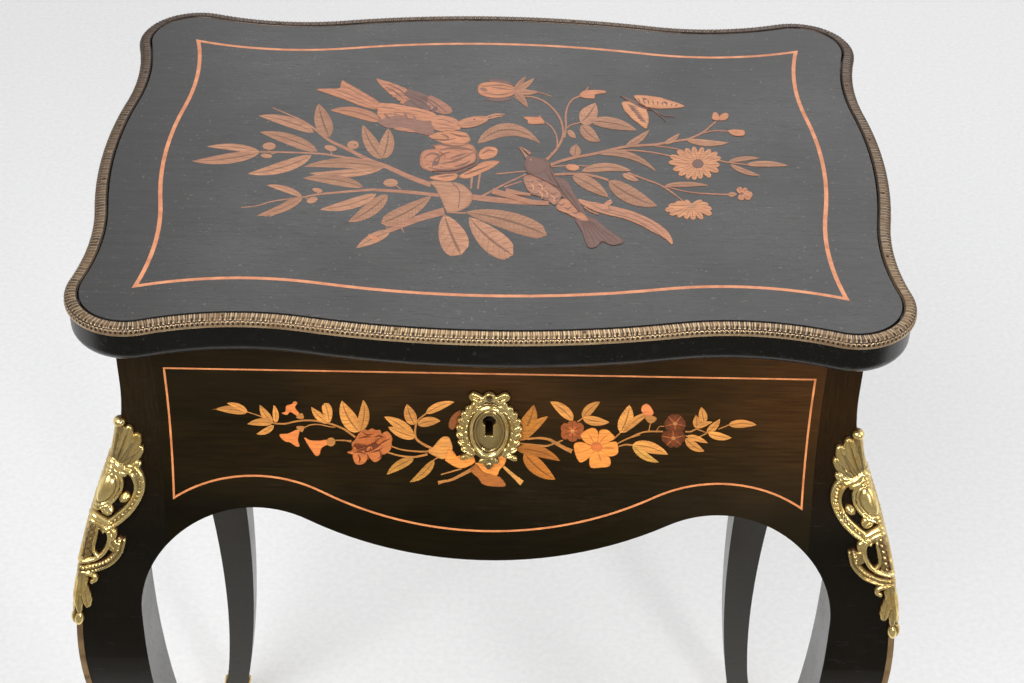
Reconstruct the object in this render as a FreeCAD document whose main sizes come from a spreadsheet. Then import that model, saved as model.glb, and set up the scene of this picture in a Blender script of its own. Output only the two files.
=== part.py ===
import FreeCAD, Part
import Sketcher
import math
import os
import re

from FreeCAD import Vector

# A lift-top dressing table: a scalloped lid over a box-shaped case whose four walls swell outwards
# into four curved legs. The origin is on the floor, under the middle of the case. X runs to the
# right, Y to the back and Z up. All sizes are in millimetres.

DIMENSIONS = {
    # Overall
    "table_height": 740,
    "lid_length": 500,
    "lid_depth": 366,
    "lid_thickness": 27,
    "lid_overhang": 28.5,
    "wall": 21.5,
    # Scalloped outline of the lid
    "corner_radius": 38,
    "corner_inset_long": 2,
    "corner_inset_deep": 2.5,
    "long_hollow_place": 142,
    "long_hollow_radius": 187,
    "short_hollow_place": 92,
    "short_hollow_radius": 178,
    "lid_rounding": 8,
    # Brass moulding round the lid
    "moulding_proud": 1,
    "moulding_width": 8,
    "moulding_depth": 5,
    "moulding_rise": 0.6,
    "moulding_rounding": 3.6,
    "moulding_pin_radius": 0.9,
    "moulding_pin_length": 9,
    "moulding_pin_rise": 0.5,
    # Inlaid lines
    "lid_line_inset": 38.2,
    "lid_line_width": 2.6,
    "line_depth": 1,
    "wall_line_width": 1.25,
    "wall_line_lift": 19,
    "wall_line_top": 22.6,
    "wall_line_margin": 5.5,
    # Outward swell of the walls and legs. A drop is measured down from the top of the case.
    "swell_start": 35,
    "hollow_radius": 200,
    "knee_drop": 235,
    "knee_swell": 40,
    "knee_radius": 350,
    "ankle_drop": 518,
    "ankle_swell": 8,
    "foot_swell": 29,
    # Inner line of a leg
    "bracket_gap": 3,
    "calf_drop": 208,
    "calf_radius": 1150,
    "shin_drop": 463,
    "shin_gap": 17.5,
    "foot_inner_swell": 11,
    # Scalloped lower edge of the walls
    "arch_drop": 119,
    "front_drop": 151.2,
    "front_bracket_radius": 75,
    "side_drop": 145,
    "side_bracket_radius": 60,
    # Floor of the case
    "floor_thickness": 10,
    "floor_drop": 117,
    "block_size": 20,
    "block_height": 12,
    # Tray
    "tray_gap": 1.5,
    "tray_drop": 9,
    "tray_height": 40,
    "tray_floor_thickness": 5,
    "tray_wall": 6,
    "divider_place": 70,
    "runner_width": 10,
    "runner_height": 8,
    # Mirror in the lid
    "mirror_margin_long": 25,
    "mirror_margin_deep": 20.5,
    "glass_thickness": 3,
    "frame_width": 14,
    "frame_thickness": 5,
    "frame_lap": 4,
    # Hinges
    "hinge_place": 150,
    "hinge_length": 40,
    "leaf_depth": 13,
    "leaf_thickness": 1.5,
    "hinge_offset": 3.3,
    "barrel_radius": 2.8,
    "pin_radius": 1.2,
    "pin_clearance": 0.05,
    "knuckle_gap": 0.25,
    "groove_clearance": 0.8,
    # Lock
    "lock_length": 62,
    "lock_depth": 14,
    "lock_height": 68,
    "lock_wall": 1.5,
    "cover_length": 78,
    "cover_thickness": 2,
    "keyhole_drop": 58,
    "keyhole_radius": 3.4,
    "keyhole_slot": 4.2,
    "keyhole_length": 13.5,
    "drill_pin_radius": 1.6,
    "staple_place": 16,
    "staple_thickness": 3,
    "staple_width": 7,
    "staple_drop": 9,
    "staple_window": 4.5,
    "staple_clearance": 0.8,
    "link_length": 56,
    "link_depth": 12,
    "link_thickness": 1.5,
    "bolt_travel": 6,
    "bolt_width": 4,
    "bolt_bar": 4,
    "bolt_clearance": 1.5,
    "hook_clearance": 0.7,
    "hook_thickness": 3.4,
    "hook_post": 4,
    # Escutcheon
    "plate_drop": 65,
    "plate_half_width": 20,
    "plate_half_height": 21.5,
    "plate_thickness": 4,
    "bow_rise": 7,
    "bow_half_width": 11,
    "lug_drop": 3.6,
    "lug_half_width": 3.4,
    "pin_depth": 3.5,
    # Knee mounts, brass strips and foot mounts
    "mount_thickness": 4.5,
    "mount_top": 58,
    "mount_bottom": 204,
    "strip_inset": 3,
    "strip_rise": 0.8,
    "nail_radius": 1.3,
    "nail_rise": 0.9,
    "nail_depth": 5,
    "nail_pitch": 62,
    "sabot_height": 38,
    "sabot_wall": 2.2,
    "sole_thickness": 2,
    # Fasteners
    "screw_head_radius": 2.6,
    "screw_head_depth": 1.2,
    "screw_shank_radius": 1.2,
    "screw_length": 9,
}

# How far a knee mount reaches from the leg's outer edge, against the drop below its own top. The
# narrow places are between its leaf plume, its scroll, its lower loop and its hanging husk.
MOUNT_REACH = [
    (0, 3),
    (10, 11),
    (21, 16),
    (38, 18),
    (53, 25),
    (61, 24),
    (74, 13),
    (86, 20),
    (97, 17),
    (105, 9),
    (118, 5),
    (132, 5),
    (146, 3),
]

# Longer than any half width of the table, and the smallest length that counts as one.
REACH_FAR = 400
HAIR = 1e-4

# Sizes that follow from others. The case is as large as the lid less its overhang, and the mirror
# with its frame lies inside the case with a margin at each wall. Later words are used in earlier ones.
DERIVED = {
    "glass_length": "(case_length - 2 * (wall + mirror_margin_long + frame_width - frame_lap))",
    "glass_depth": "(case_depth - 2 * (wall + mirror_margin_deep + frame_width - frame_lap))",
    "case_length": "(lid_length - 2 * lid_overhang)",
    "case_depth": "(lid_depth - 2 * lid_overhang)",
    "case_top": "(table_height - lid_thickness)",
}

doc = FreeCAD.newDocument("DressingTable")
sheet = doc.addObject("Spreadsheet::Sheet", "Dims")
for row, (alias, number) in enumerate(DIMENSIONS.items(), start=1):
    sheet.set("A%d" % row, alias)
    sheet.set("B%d" % row, str(number))
    sheet.setAlias("B%d" % row, alias)
doc.recompute()

nodes = []


def size(alias):
    """The value of one cell of the sheet."""
    return float(sheet.get(alias))


def cells(formula):
    """A formula in the words of the sheet, with each word pointing at its cell."""
    for word, meaning in DERIVED.items():
        formula = re.sub(r"\b%s\b" % word, meaning, formula)
    return re.sub(r"[a-z][a-z_]+", lambda word: "Dims." + word.group(0), formula)


def bind(item, **formulas):
    """Bind properties of an object to formulas. A double underscore stands for a dot."""
    for name, formula in formulas.items():
        item.setExpression(name.replace("__", "."), cells(formula))


def keep(item, label):
    """Name an object as one finished piece."""
    item.Label = label
    nodes.append(item)
    return item


def box(name, lengths, corner):
    """A block with its sizes and its lowest corner as formulas."""
    block = doc.addObject("Part::Box", name)
    bind(block, Length=lengths[0], Width=lengths[1], Height=lengths[2])
    bind(block, Placement__Base__x=corner[0])
    bind(block, Placement__Base__y=corner[1])
    bind(block, Placement__Base__z=corner[2])
    return block


def cylinder(name, radius, length, base, turn):
    """A round bar that starts at base and runs along Z turned by a rotation."""
    bar = doc.addObject("Part::Cylinder", name)
    bind(bar, Radius=radius, Height=length)
    bar.Placement = FreeCAD.Placement(Vector(), turn)
    bind(bar, Placement__Base__x=base[0])
    bind(bar, Placement__Base__y=base[1])
    bind(bar, Placement__Base__z=base[2])
    return bar


UPWARDS = FreeCAD.Rotation()
DOWNWARDS = FreeCAD.Rotation(Vector(1, 0, 0), 180)
ALONG_X = FreeCAD.Rotation(Vector(0, 1, 0), 90)
FORWARDS = FreeCAD.Rotation(Vector(1, 0, 0), 90)


def fuse(name, pieces):
    """Several solids as one."""
    joined = doc.addObject("Part::MultiFuse", name)
    joined.Shapes = pieces
    joined.Refine = True
    return joined


def group(name, pieces):
    """Several loose solids as one node."""
    loose = doc.addObject("Part::Compound", name)
    loose.Links = pieces
    return loose


def cut(name, base, tools):
    """One solid with others taken out of it."""
    tool = tools[0] if len(tools) == 1 else group(name + "_tools", tools)
    carved = doc.addObject("Part::Cut", name)
    carved.Base = base
    carved.Tool = tool
    return carved


def common(name, first, second):
    """What two solids share."""
    shared = doc.addObject("Part::Common", name)
    shared.Base = first
    shared.Tool = second
    return shared


def mirror(name, source, normal):
    """A mirror image through the middle of the table."""
    image = doc.addObject("Part::Mirroring", name)
    image.Source = source
    image.Base = Vector()
    image.Normal = normal
    return image


def face(name, edges):
    """A flat face inside a closed chain of edges."""
    outline = doc.addObject("Part::Feature", name)
    outline.Shape = Part.Face(Part.Wire(Part.__sortEdges__(edges)))
    return outline


def ring_face(name, outer, inner):
    """A flat face between two closed chains of edges."""
    outside = Part.Face(Part.Wire(Part.__sortEdges__(outer)))
    inside = Part.Face(Part.Wire(Part.__sortEdges__(inner)))
    outline = doc.addObject("Part::Feature", name)
    outline.Shape = outside.cut(inside)
    return outline


def extrude(name, base, direction, length, back="0"):
    """A face carried along a direction, and back the other way."""
    prism = doc.addObject("Part::Extrusion", name)
    prism.Base = base
    prism.DirMode = "Custom"
    prism.Dir = direction
    prism.Solid = True
    bind(prism, LengthFwd=length, LengthRev=back)
    return prism


def line(start, end):
    """A straight edge."""
    return Part.LineSegment(start, end).toShape()


# Levels and half sizes

CASE_TOP = size("table_height") - size("lid_thickness")
HALF_LENGTH = size("lid_length") / 2 - size("lid_overhang")
HALF_DEPTH = size("lid_depth") / 2 - size("lid_overhang")
LEVEL_TOP = "case_top"
INNER_LENGTH = "(case_length / 2 - wall)"
INNER_DEPTH = "(case_depth / 2 - wall)"


# Curves in a vertical plane. An arc is a tuple: upper end, lower end, centre out, centre level,
# radius and side. Side is 1 where the curve bulges outwards and -1 where it is hollow.


def s_curve(high, low, out_high, out_low, first_radius, grow):
    """Two tangent arcs that leave the upper point and reach the lower point upright."""
    step = out_low - out_high
    side = -1 if step > 0 else 1
    total = ((high - low) ** 2 + step**2) / (2 * abs(step))
    second_radius = total - first_radius
    first = first_radius + side * grow
    second = second_radius - side * grow
    middle = high + (low - high) * first / total
    upper = (high, middle, out_high - side * first_radius, high, first, side)
    lower = (middle, low, out_low + side * second_radius, low, second, -side)
    return upper, lower


def foot_arc(level, out, out_at_floor, grow):
    """The arc that leaves a level upright and swells out to the floor."""
    step = out_at_floor - out
    radius = (level**2 + step**2) / (2 * step)
    return (level, 0, out + radius, level, radius - grow, -1)


def ridge(grow=0.0):
    """The outer edge of a wall or leg, from the case top to the floor, moved outwards by grow."""
    start = CASE_TOP - size("swell_start")
    knee = CASE_TOP - size("knee_drop")
    upright = (CASE_TOP, start, grow, start, None, 0)
    hollow, bulge = s_curve(start, knee, 0, size("knee_swell"), size("hollow_radius"), grow)
    low = CASE_TOP - size("ankle_drop")
    calf, ankle = s_curve(knee, low, size("knee_swell"), size("ankle_swell"), size("knee_radius"), grow)
    foot = foot_arc(low, size("ankle_swell"), size("foot_swell"), grow)
    return [upright, hollow, bulge, calf, ankle, foot]


def inner_line(grow=0.0):
    """The inner edge of a leg below its bracket, moved outwards by grow."""
    top = CASE_TOP - size("calf_drop")
    low = CASE_TOP - size("shin_drop")
    upright = (CASE_TOP, top, grow - size("bracket_gap"), top, None, 0)
    gap, shin_gap = size("bracket_gap"), size("shin_gap")
    upper, lower = s_curve(top, low, -gap, -shin_gap, size("calf_radius"), grow)
    foot = foot_arc(low, -shin_gap, size("foot_inner_swell"), grow)
    return [upright, upper, lower, foot]


def out_on(arc, level):
    """How far out an arc is at one level."""
    centre, middle, radius, side = arc[2:]
    if radius is None:
        return centre
    return centre + side * math.sqrt(radius**2 - (level - middle) ** 2)


def out_at(chain, level):
    """How far out a chain of arcs is at one level."""
    for arc in chain:
        if level >= arc[1] - HAIR:
            return out_on(arc, level)
    return out_on(chain[-1], level)


def chain_edges(chain, high, low, place):
    """The edges of a chain between two levels. Place turns (out, level) into a point."""
    edges = []
    for arc in chain:
        top = min(high, arc[0])
        bottom = max(low, arc[1])
        if top - bottom < HAIR:
            continue
        ends = [place(out_on(arc, level), level) for level in (top, (top + bottom) / 2, bottom)]
        if arc[4] is None:
            edges.append(line(ends[0], ends[2]))
        else:
            edges.append(Part.Arc(*ends).toShape())
    return edges


def seen_from_front(out, level):
    """A point in the plane of the front view, out from the case's right side."""
    return Vector(HALF_LENGTH + out, 0, level)


def seen_from_side(out, level):
    """A point in the plane of the side view, out from the case's front."""
    return Vector(0, -HALF_DEPTH - out, level)


def band_edges(inner, outer, high, low, place):
    """The outline between two chains, closed by a level line at each end."""
    edges = chain_edges(inner, high, low, place) + chain_edges(outer, high, low, place)
    for level in (high, low):
        edges.append(line(place(out_at(inner, level), level), place(out_at(outer, level), level)))
    return edges


def straight(out):
    """An upright line as a chain."""
    return [(CASE_TOP, 0, out, 0, None, 0)]


def corner_solid(name, front_edges, side_edges):
    """A piece at the front right corner, sawn to one outline from the front and one from the side."""
    front_face = face(name + "_front_face", front_edges)
    side_face = face(name + "_side_face", side_edges)
    from_front = extrude(name + "_front_prism", front_face, Vector(0, -1, 0), str(REACH_FAR))
    from_side = extrude(name + "_side_prism", side_face, Vector(1, 0, 0), str(REACH_FAR))
    return common(name, from_front, from_side)


def four_corners(label, source):
    """The front right piece and its three mirror images, as four nodes."""
    names = {
        "front_right": None,
        "front_left": Vector(1, 0, 0),
        "back_right": Vector(0, 1, 0),
    }
    pieces = {}
    for corner, normal in names.items():
        pieces[corner] = source if normal is None else mirror(label % corner + "_image", source, normal)
    pieces["back_left"] = mirror(label % "back_left" + "_image", pieces["back_right"], Vector(1, 0, 0))
    return pieces


# Lower edge of a wall


def apron_values(side_view, lift=0.0):
    """Centres and radii of a wall's scalloped lower edge, raised evenly by lift."""
    if side_view:
        half, drop, bracket = HALF_DEPTH, size("side_drop"), size("side_bracket_radius")
    else:
        half, drop, bracket = HALF_LENGTH, size("front_drop"), size("front_bracket_radius")
    along = half - size("bracket_gap") - bracket
    rise = drop - size("arch_drop")
    middle = (along**2 + rise**2) / (2 * rise) - bracket
    share = (middle - lift) / (middle + bracket)
    low_centre = CASE_TOP - drop + middle
    high_centre = CASE_TOP - size("arch_drop") - bracket
    return {
        "along": along,
        "high_centre": high_centre,
        "bracket": bracket + lift,
        "bottom": CASE_TOP - drop + lift,
        "turn": along * share,
        "turn_level": low_centre + (high_centre - low_centre) * share,
    }


def apron_edges(side_view, half_width, top, lift, place):
    """The outline of a wall: square at the top and sides, scalloped below."""
    edge = apron_values(side_view, lift)
    side_level = edge["high_centre"] + math.sqrt(edge["bracket"] ** 2 - (half_width - edge["along"]) ** 2)
    edges = [line(place(-half_width, top), place(half_width, top))]
    for sign in (-1, 1):
        start = place(sign * half_width, side_level)
        crest = place(sign * edge["along"], edge["high_centre"] + edge["bracket"])
        turn = place(sign * edge["turn"], edge["turn_level"])
        edges.append(line(place(sign * half_width, top), start))
        edges.append(Part.Arc(start, crest, turn).toShape())
    left = place(-edge["turn"], edge["turn_level"])
    right = place(edge["turn"], edge["turn_level"])
    edges.append(Part.Arc(left, place(0, edge["bottom"]), right).toShape())
    return edges


def front_plane(along, level):
    """A point of the front wall's outline."""
    return Vector(along, 0, level)


def side_plane(along, level):
    """A point of the side wall's outline."""
    return Vector(0, along, level)


def wall_blank(name, side_view):
    """One swelling wall between two posts, before anything is cut into it."""
    if side_view:
        place, plane, towards, along = seen_from_front, side_plane, Vector(1, 0, 0), Vector(0, 1, 0)
        half_width, reach = HALF_DEPTH - size("wall"), INNER_DEPTH
    else:
        place, plane, towards, along = seen_from_side, front_plane, Vector(0, -1, 0), Vector(1, 0, 0)
        half_width, reach = HALF_LENGTH - size("wall"), INNER_LENGTH
    lowest = CASE_TOP - max(size("front_drop"), size("side_drop")) - size("wall")
    section = band_edges(straight(-size("wall")), ridge(), CASE_TOP, lowest, place)
    outline = apron_edges(side_view, half_width, CASE_TOP, 0, plane)
    bar = extrude(name + "_bar", face(name + "_section", section), along, reach, reach)
    board = extrude(name + "_board", face(name + "_outline", outline), towards, str(REACH_FAR))
    return common(name, bar, board)


def wall_line(name, side_view):
    """The inlaid line of one wall: a ring that follows the wall's outline, let into its face."""
    if side_view:
        place, plane, towards, along = seen_from_front, side_plane, Vector(1, 0, 0), Vector(0, 1, 0)
        half_width, reach = HALF_DEPTH - size("wall"), INNER_DEPTH
    else:
        place, plane, towards, along = seen_from_side, front_plane, Vector(0, -1, 0), Vector(1, 0, 0)
        half_width, reach = HALF_LENGTH - size("wall"), INNER_LENGTH
    width = size("wall_line_width")
    outer_half = half_width - size("wall_line_margin")
    outer_top = CASE_TOP - size("wall_line_top")
    lift = size("wall_line_lift")
    outer = apron_edges(side_view, outer_half, outer_top, lift, plane)
    inner = apron_edges(side_view, outer_half - width, outer_top - width, lift + width, plane)
    ring = extrude(name + "_ring", ring_face(name + "_outline", outer, inner), towards, str(REACH_FAR))
    lowest = CASE_TOP - max(size("front_drop"), size("side_drop")) - size("wall")
    skin = band_edges(ridge(-size("line_depth")), ridge(), CASE_TOP, lowest, place)
    layer = extrude(name + "_layer", face(name + "_skin", skin), along, reach, reach)
    return common(name, ring, layer)


# Legs


def leg_outline(half, bracket, place):
    """The outline of a leg from one side: post, bracket, knee, ankle and foot."""
    sole = size("sole_thickness")
    post = half - size("wall")
    along = half - size("bracket_gap") - bracket
    centre = CASE_TOP - size("arch_drop") - bracket
    spring = centre + math.sqrt(bracket**2 - (post - along) ** 2)
    angle = math.acos((post - along) / bracket) / 2
    halfway = (along + bracket * math.cos(angle), centre + bracket * math.sin(angle))
    edges = chain_edges(ridge(), CASE_TOP, sole, place)
    edges += chain_edges(inner_line(), centre, sole, place)
    edges.append(line(place(out_at(inner_line(), sole), sole), place(out_at(ridge(), sole), sole)))
    edges.append(
        Part.Arc(
            place(-size("bracket_gap"), centre),
            place(halfway[0] - half, halfway[1]),
            place(-size("wall"), spring),
        ).toShape()
    )
    edges.append(line(place(-size("wall"), spring), place(-size("wall"), CASE_TOP)))
    edges.append(line(place(-size("wall"), CASE_TOP), place(0, CASE_TOP)))
    return edges


def leg_blank():
    """The front right leg before its edge is rebated for the brass strip."""
    front = leg_outline(HALF_LENGTH, size("front_bracket_radius"), seen_from_front)
    side = leg_outline(HALF_DEPTH, size("side_bracket_radius"), seen_from_side)
    return corner_solid("leg_blank", front, side)


def edge_strip():
    """The brass strip let into a leg's outer edge, from the knee mount to the foot mount."""
    high = CASE_TOP - size("mount_bottom")
    low = size("sabot_height")
    inner = ridge(-size("strip_inset"))
    outer = ridge(size("strip_rise"))
    front = band_edges(inner, outer, high, low, seen_from_front)
    side = band_edges(inner, outer, high, low, seen_from_side)
    return corner_solid("strip_blank", front, side)


def nail_places():
    """Levels and outward places of the nails in one strip."""
    high = CASE_TOP - size("mount_bottom")
    low = size("sabot_height")
    count = int((high - low) // size("nail_pitch"))
    margin = (high - low - (count - 1) * size("nail_pitch")) / 2
    levels = [low + margin + step * size("nail_pitch") for step in range(count)]
    return [(level, out_at(ridge(), level)) for level in levels]


def nails():
    """The nails of the front right strip, driven in from the front."""
    made = []
    middle = (size("strip_rise") - size("strip_inset")) / 2
    for level, out in nail_places():
        nail = doc.addObject("Part::Cylinder", "nail")
        bind(nail, Radius="nail_radius", Height="nail_depth + strip_inset + strip_rise + nail_rise")
        root = size("strip_inset") + size("nail_depth")
        start = Vector(HALF_LENGTH + out + middle, -HALF_DEPTH - out + root, level)
        nail.Placement = FreeCAD.Placement(start, FORWARDS)
        made.append(nail)
    return group("nail_row", made)


def mount_edges(place):
    """The outline of a knee mount from one side. Its inner edge is a curve through its reaches."""
    high = CASE_TOP - size("mount_top")
    low = CASE_TOP - size("mount_bottom")
    stretch = (high - low) / MOUNT_REACH[-1][0]
    outer = ridge(size("mount_thickness"))
    wood = ridge()
    points = []
    for drop, reach in MOUNT_REACH:
        level = high - drop * stretch
        points.append(place(out_at(wood, level) - reach, level))
    curve = Part.BSplineCurve()
    curve.interpolate(points)
    edges = chain_edges(outer, high, low, place) + [curve.toShape()]
    edges.append(line(points[0], place(out_at(outer, high), high)))
    edges.append(line(points[-1], place(out_at(outer, low), low)))
    return edges


def knee_mount():
    """The gilt mount wrapped round the front right knee."""
    high = CASE_TOP - size("mount_top")
    low = CASE_TOP - size("mount_bottom")
    plate = corner_solid("mount_plate", mount_edges(seen_from_front), mount_edges(seen_from_side))
    behind = straight(-2 * size("wall"))
    core = band_edges(behind, ridge(), high, low, seen_from_front)
    core_side = band_edges(behind, ridge(), high, low, seen_from_side)
    return cut("mount", plate, [corner_solid("mount_core", core, core_side)])


def sabot(leg):
    """The gilt shoe on the front right foot."""
    wall = size("sabot_wall")
    top = size("sabot_height")
    front = band_edges(inner_line(-wall), ridge(wall), top, 0, seen_from_front)
    side = band_edges(inner_line(-wall), ridge(wall), top, 0, seen_from_side)
    return cut("sabot", corner_solid("sabot_block", front, side), [leg])


# Scalloped outline of the lid


def outline_values(inset):
    """Centres and radii of a quarter of the lid's outline, moved inwards by inset."""
    half_length = size("lid_length") / 2
    half_depth = size("lid_depth") / 2
    corner = size("corner_radius")
    corner_x = half_length - size("corner_inset_long") - corner
    corner_y = half_depth - size("corner_inset_deep") - corner
    values = {"corner": (corner_x, corner_y, corner - inset)}
    long_x = size("long_hollow_place")
    long_radius = size("long_hollow_radius")
    long_y = corner_y + math.sqrt((long_radius + corner) ** 2 - (corner_x - long_x) ** 2)
    values["long_hollow"] = (long_x, long_y, long_radius + inset)
    reach = half_depth + long_radius
    bulge_y = (reach**2 - long_x**2 - long_y**2) / (2 * (reach - long_y))
    values["long_bulge"] = (0, bulge_y, half_depth - bulge_y - inset)
    short_y = size("short_hollow_place")
    short_radius = size("short_hollow_radius")
    short_x = corner_x + math.sqrt((short_radius + corner) ** 2 - (corner_y - short_y) ** 2)
    values["short_hollow"] = (short_x, short_y, short_radius + inset)
    reach = half_length + short_radius
    bulge_x = (reach**2 - short_y**2 - short_x**2) / (2 * (reach - short_x))
    values["short_bulge"] = (bulge_x, 0, half_length - bulge_x - inset)
    return values


def meeting(first, second):
    """Where two tangent circles of the outline touch."""
    share = first[2] / (first[2] + second[2])
    return first[0] + (second[0] - first[0]) * share, first[1] + (second[1] - first[1]) * share


def outline_sketch(body, name, inset, level):
    """A quarter of the lid's outline as a sketch of five tangent arcs and two straight lines."""
    drawing = body.newObject("Sketcher::SketchObject", name)
    plane = [item for item in body.Origin.OriginFeatures if item.Role == "XY_Plane"][0]
    drawing.AttachmentSupport = [(plane, "")]
    drawing.MapMode = "FlatFace"
    drawing.setExpression("AttachmentOffset.Base.z", cells(level))
    number = inset_number(inset)
    values = outline_values(number)
    order = ["short_bulge", "short_hollow", "corner", "long_hollow", "long_bulge"]
    half_length = size("lid_length") / 2 - number
    half_depth = size("lid_depth") / 2 - number
    joins = [(half_length, 0)]
    joins += [meeting(values[first], values[second]) for first, second in zip(order, order[1:])]
    joins.append((0, half_depth))
    for key, start, end in zip(order, joins, joins[1:]):
        x, y, radius = values[key]
        first = math.atan2(start[1] - y, start[0] - x)
        last = math.atan2(end[1] - y, end[0] - x)
        if "hollow" in key:
            first, last = last, first
        circle = Part.Circle(Vector(x, y, 0), Vector(0, 0, 1), radius)
        if last < first:
            last += 2 * math.pi
        drawing.addGeometry(Part.ArcOfCircle(circle, first, last))
    drawing.addGeometry(Part.LineSegment(Vector(0, half_depth, 0), Vector(0, 0, 0)))
    drawing.addGeometry(Part.LineSegment(Vector(0, 0, 0), Vector(half_length, 0, 0)))
    constrain_outline(drawing, inset)
    return drawing


def inset_number(inset):
    """The value of an inset given as a sum of words of the sheet."""
    total = 0.0
    for sign, word in re.findall(r"([+-]?)\s*([a-z_]+|0)", inset):
        value = 0.0 if word == "0" else size(word)
        total += -value if sign == "-" else value
    return total


def constrain_outline(drawing, inset):
    """Tie the arcs to each other and to the sheet. Arcs 0 to 4 run from the side to the back."""

    def add(*parts):
        return drawing.addConstraint(Sketcher.Constraint(*parts))

    def measure(name, formula, *parts):
        index = add(*parts)
        drawing.renameConstraint(index, name)
        drawing.setExpression("Constraints." + name, cells(formula))

    side_bulge, side_hollow, corner, back_hollow, back_bulge, upright, level = range(7)
    add("Tangent", side_bulge, 2, side_hollow, 2)
    add("Tangent", side_hollow, 1, corner, 1)
    add("Tangent", corner, 2, back_hollow, 2)
    add("Tangent", back_hollow, 1, back_bulge, 1)
    add("Coincident", back_bulge, 2, upright, 1)
    add("Coincident", upright, 2, -1, 1)
    add("Coincident", level, 1, -1, 1)
    add("Coincident", level, 2, side_bulge, 1)
    add("Vertical", upright)
    add("Horizontal", level)
    add("PointOnObject", side_bulge, 3, -1)
    add("PointOnObject", back_bulge, 3, -2)
    half_length = drawing.Geometry[level].EndPoint.x
    half_depth = drawing.Geometry[upright].StartPoint.y
    measure("half_length", "lid_length / 2 - (%s)" % inset, "Distance", level, half_length)
    measure("half_depth", "lid_depth / 2 - (%s)" % inset, "Distance", upright, half_depth)
    arcs = drawing.Geometry
    measure("corner_round", "corner_radius - (%s)" % inset, "Radius", corner, arcs[corner].Radius)
    x = "lid_length / 2 - corner_inset_long - corner_radius"
    y = "lid_depth / 2 - corner_inset_deep - corner_radius"
    measure("corner_x", x, "DistanceX", -1, 1, corner, 3, arcs[corner].Center.x)
    measure("corner_y", y, "DistanceY", -1, 1, corner, 3, arcs[corner].Center.y)
    radius = arcs[back_hollow].Radius
    measure("back_round", "long_hollow_radius + (%s)" % inset, "Radius", back_hollow, radius)
    place = arcs[back_hollow].Center.x
    measure("back_place", "long_hollow_place", "DistanceX", -1, 1, back_hollow, 3, place)
    radius = arcs[side_hollow].Radius
    measure("side_round", "short_hollow_radius + (%s)" % inset, "Radius", side_hollow, radius)
    place = arcs[side_hollow].Center.y
    measure("side_place", "short_hollow_place", "DistanceY", -1, 1, side_hollow, 3, place)


def pad(body, drawing, length):
    """A sketch raised to a solid."""
    raised = body.newObject("PartDesign::Pad", drawing.Name + "_pad")
    raised.Profile = drawing
    raised.setExpression("Length", cells(length))
    return raised


def mirrored_whole(body, role):
    """The body so far joined to its mirror image through one of its own planes."""
    image = body.newObject("PartDesign::Mirrored", body.Name + "_" + role)
    image.TransformMode = "Whole shape"
    plane = [item for item in body.Origin.OriginFeatures if item.Role == role][0]
    image.MirrorPlane = (plane, [""])
    body.Tip = image
    return image


def lid_slab():
    """The wooden slab of the lid, stepped at its top edge for the brass and rounded below."""
    body = doc.addObject("PartDesign::Body", "lid_slab")
    lower = outline_sketch(body, "slab_outline", "moulding_proud", LEVEL_TOP)
    pad(body, lower, "lid_thickness - moulding_depth")
    doc.recompute()
    base = body.Tip
    rounding = body.newObject("PartDesign::Fillet", "slab_rounding")
    rounding.Base = (base, bottom_edges(base, CASE_TOP))
    rounding.setExpression("Radius", cells("lid_rounding"))
    upper = outline_sketch(body, "field_outline", "moulding_width", "table_height - moulding_depth")
    pad(body, upper, "moulding_depth")
    doc.recompute()
    mirrored_whole(body, "YZ_Plane")
    doc.recompute()
    mirrored_whole(body, "XZ_Plane")
    return body


def bottom_edges(feature, level):
    """The curved edges of a solid that lie at one level."""
    names = []
    for number, edge in enumerate(feature.Shape.Edges, start=1):
        flat = abs(edge.BoundBox.ZMin - level) < HAIR and abs(edge.BoundBox.ZMax - level) < HAIR
        if flat and edge.Curve.TypeId == "Part::GeomCircle":
            names.append("Edge%d" % number)
    return names


def moulding_quarter():
    """A quarter of the stamped brass moulding, with its outer top edge rounded."""
    body = doc.addObject("PartDesign::Body", "moulding_quarter")
    outer = outline_sketch(body, "moulding_outside", "0", "table_height - moulding_depth")
    pad(body, outer, "moulding_depth + moulding_rise")
    doc.recompute()
    before = body.Tip.Shape.Volume
    inner = outline_sketch(body, "moulding_inside", "moulding_width", "table_height - moulding_depth")
    hollow = body.newObject("PartDesign::Pocket", "moulding_hollow")
    hollow.Profile = inner
    hollow.Type = "ThroughAll"
    hollow.Reversed = True
    doc.recompute()
    if hollow.Shape.Volume > before - 1:
        raise RuntimeError("the moulding's inside was not cut")
    top = size("table_height") + size("moulding_rise")
    outside = []
    for number, edge in enumerate(hollow.Shape.Edges, start=1):
        if abs(edge.BoundBox.ZMin - top) < HAIR and edge.Curve.TypeId == "Part::GeomCircle":
            middle = edge.valueAt((edge.FirstParameter + edge.LastParameter) / 2)
            if edge_inset(middle) < size("moulding_width") / 2:
                outside.append("Edge%d" % number)
    rounding = body.newObject("PartDesign::Fillet", "moulding_round")
    rounding.Base = (hollow, outside)
    rounding.setExpression("Radius", cells("moulding_rounding"))
    return body


def edge_inset(point):
    """How far a point of the first quarter lies inside the lid's outline, at its nearest arc."""
    gaps = []
    for key, (x, y, radius) in outline_values(0).items():
        distance = math.hypot(point.x - x, point.y - y)
        gaps.append(distance - radius if "hollow" in key else radius - distance)
    return min(abs(gap) for gap in gaps)


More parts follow.
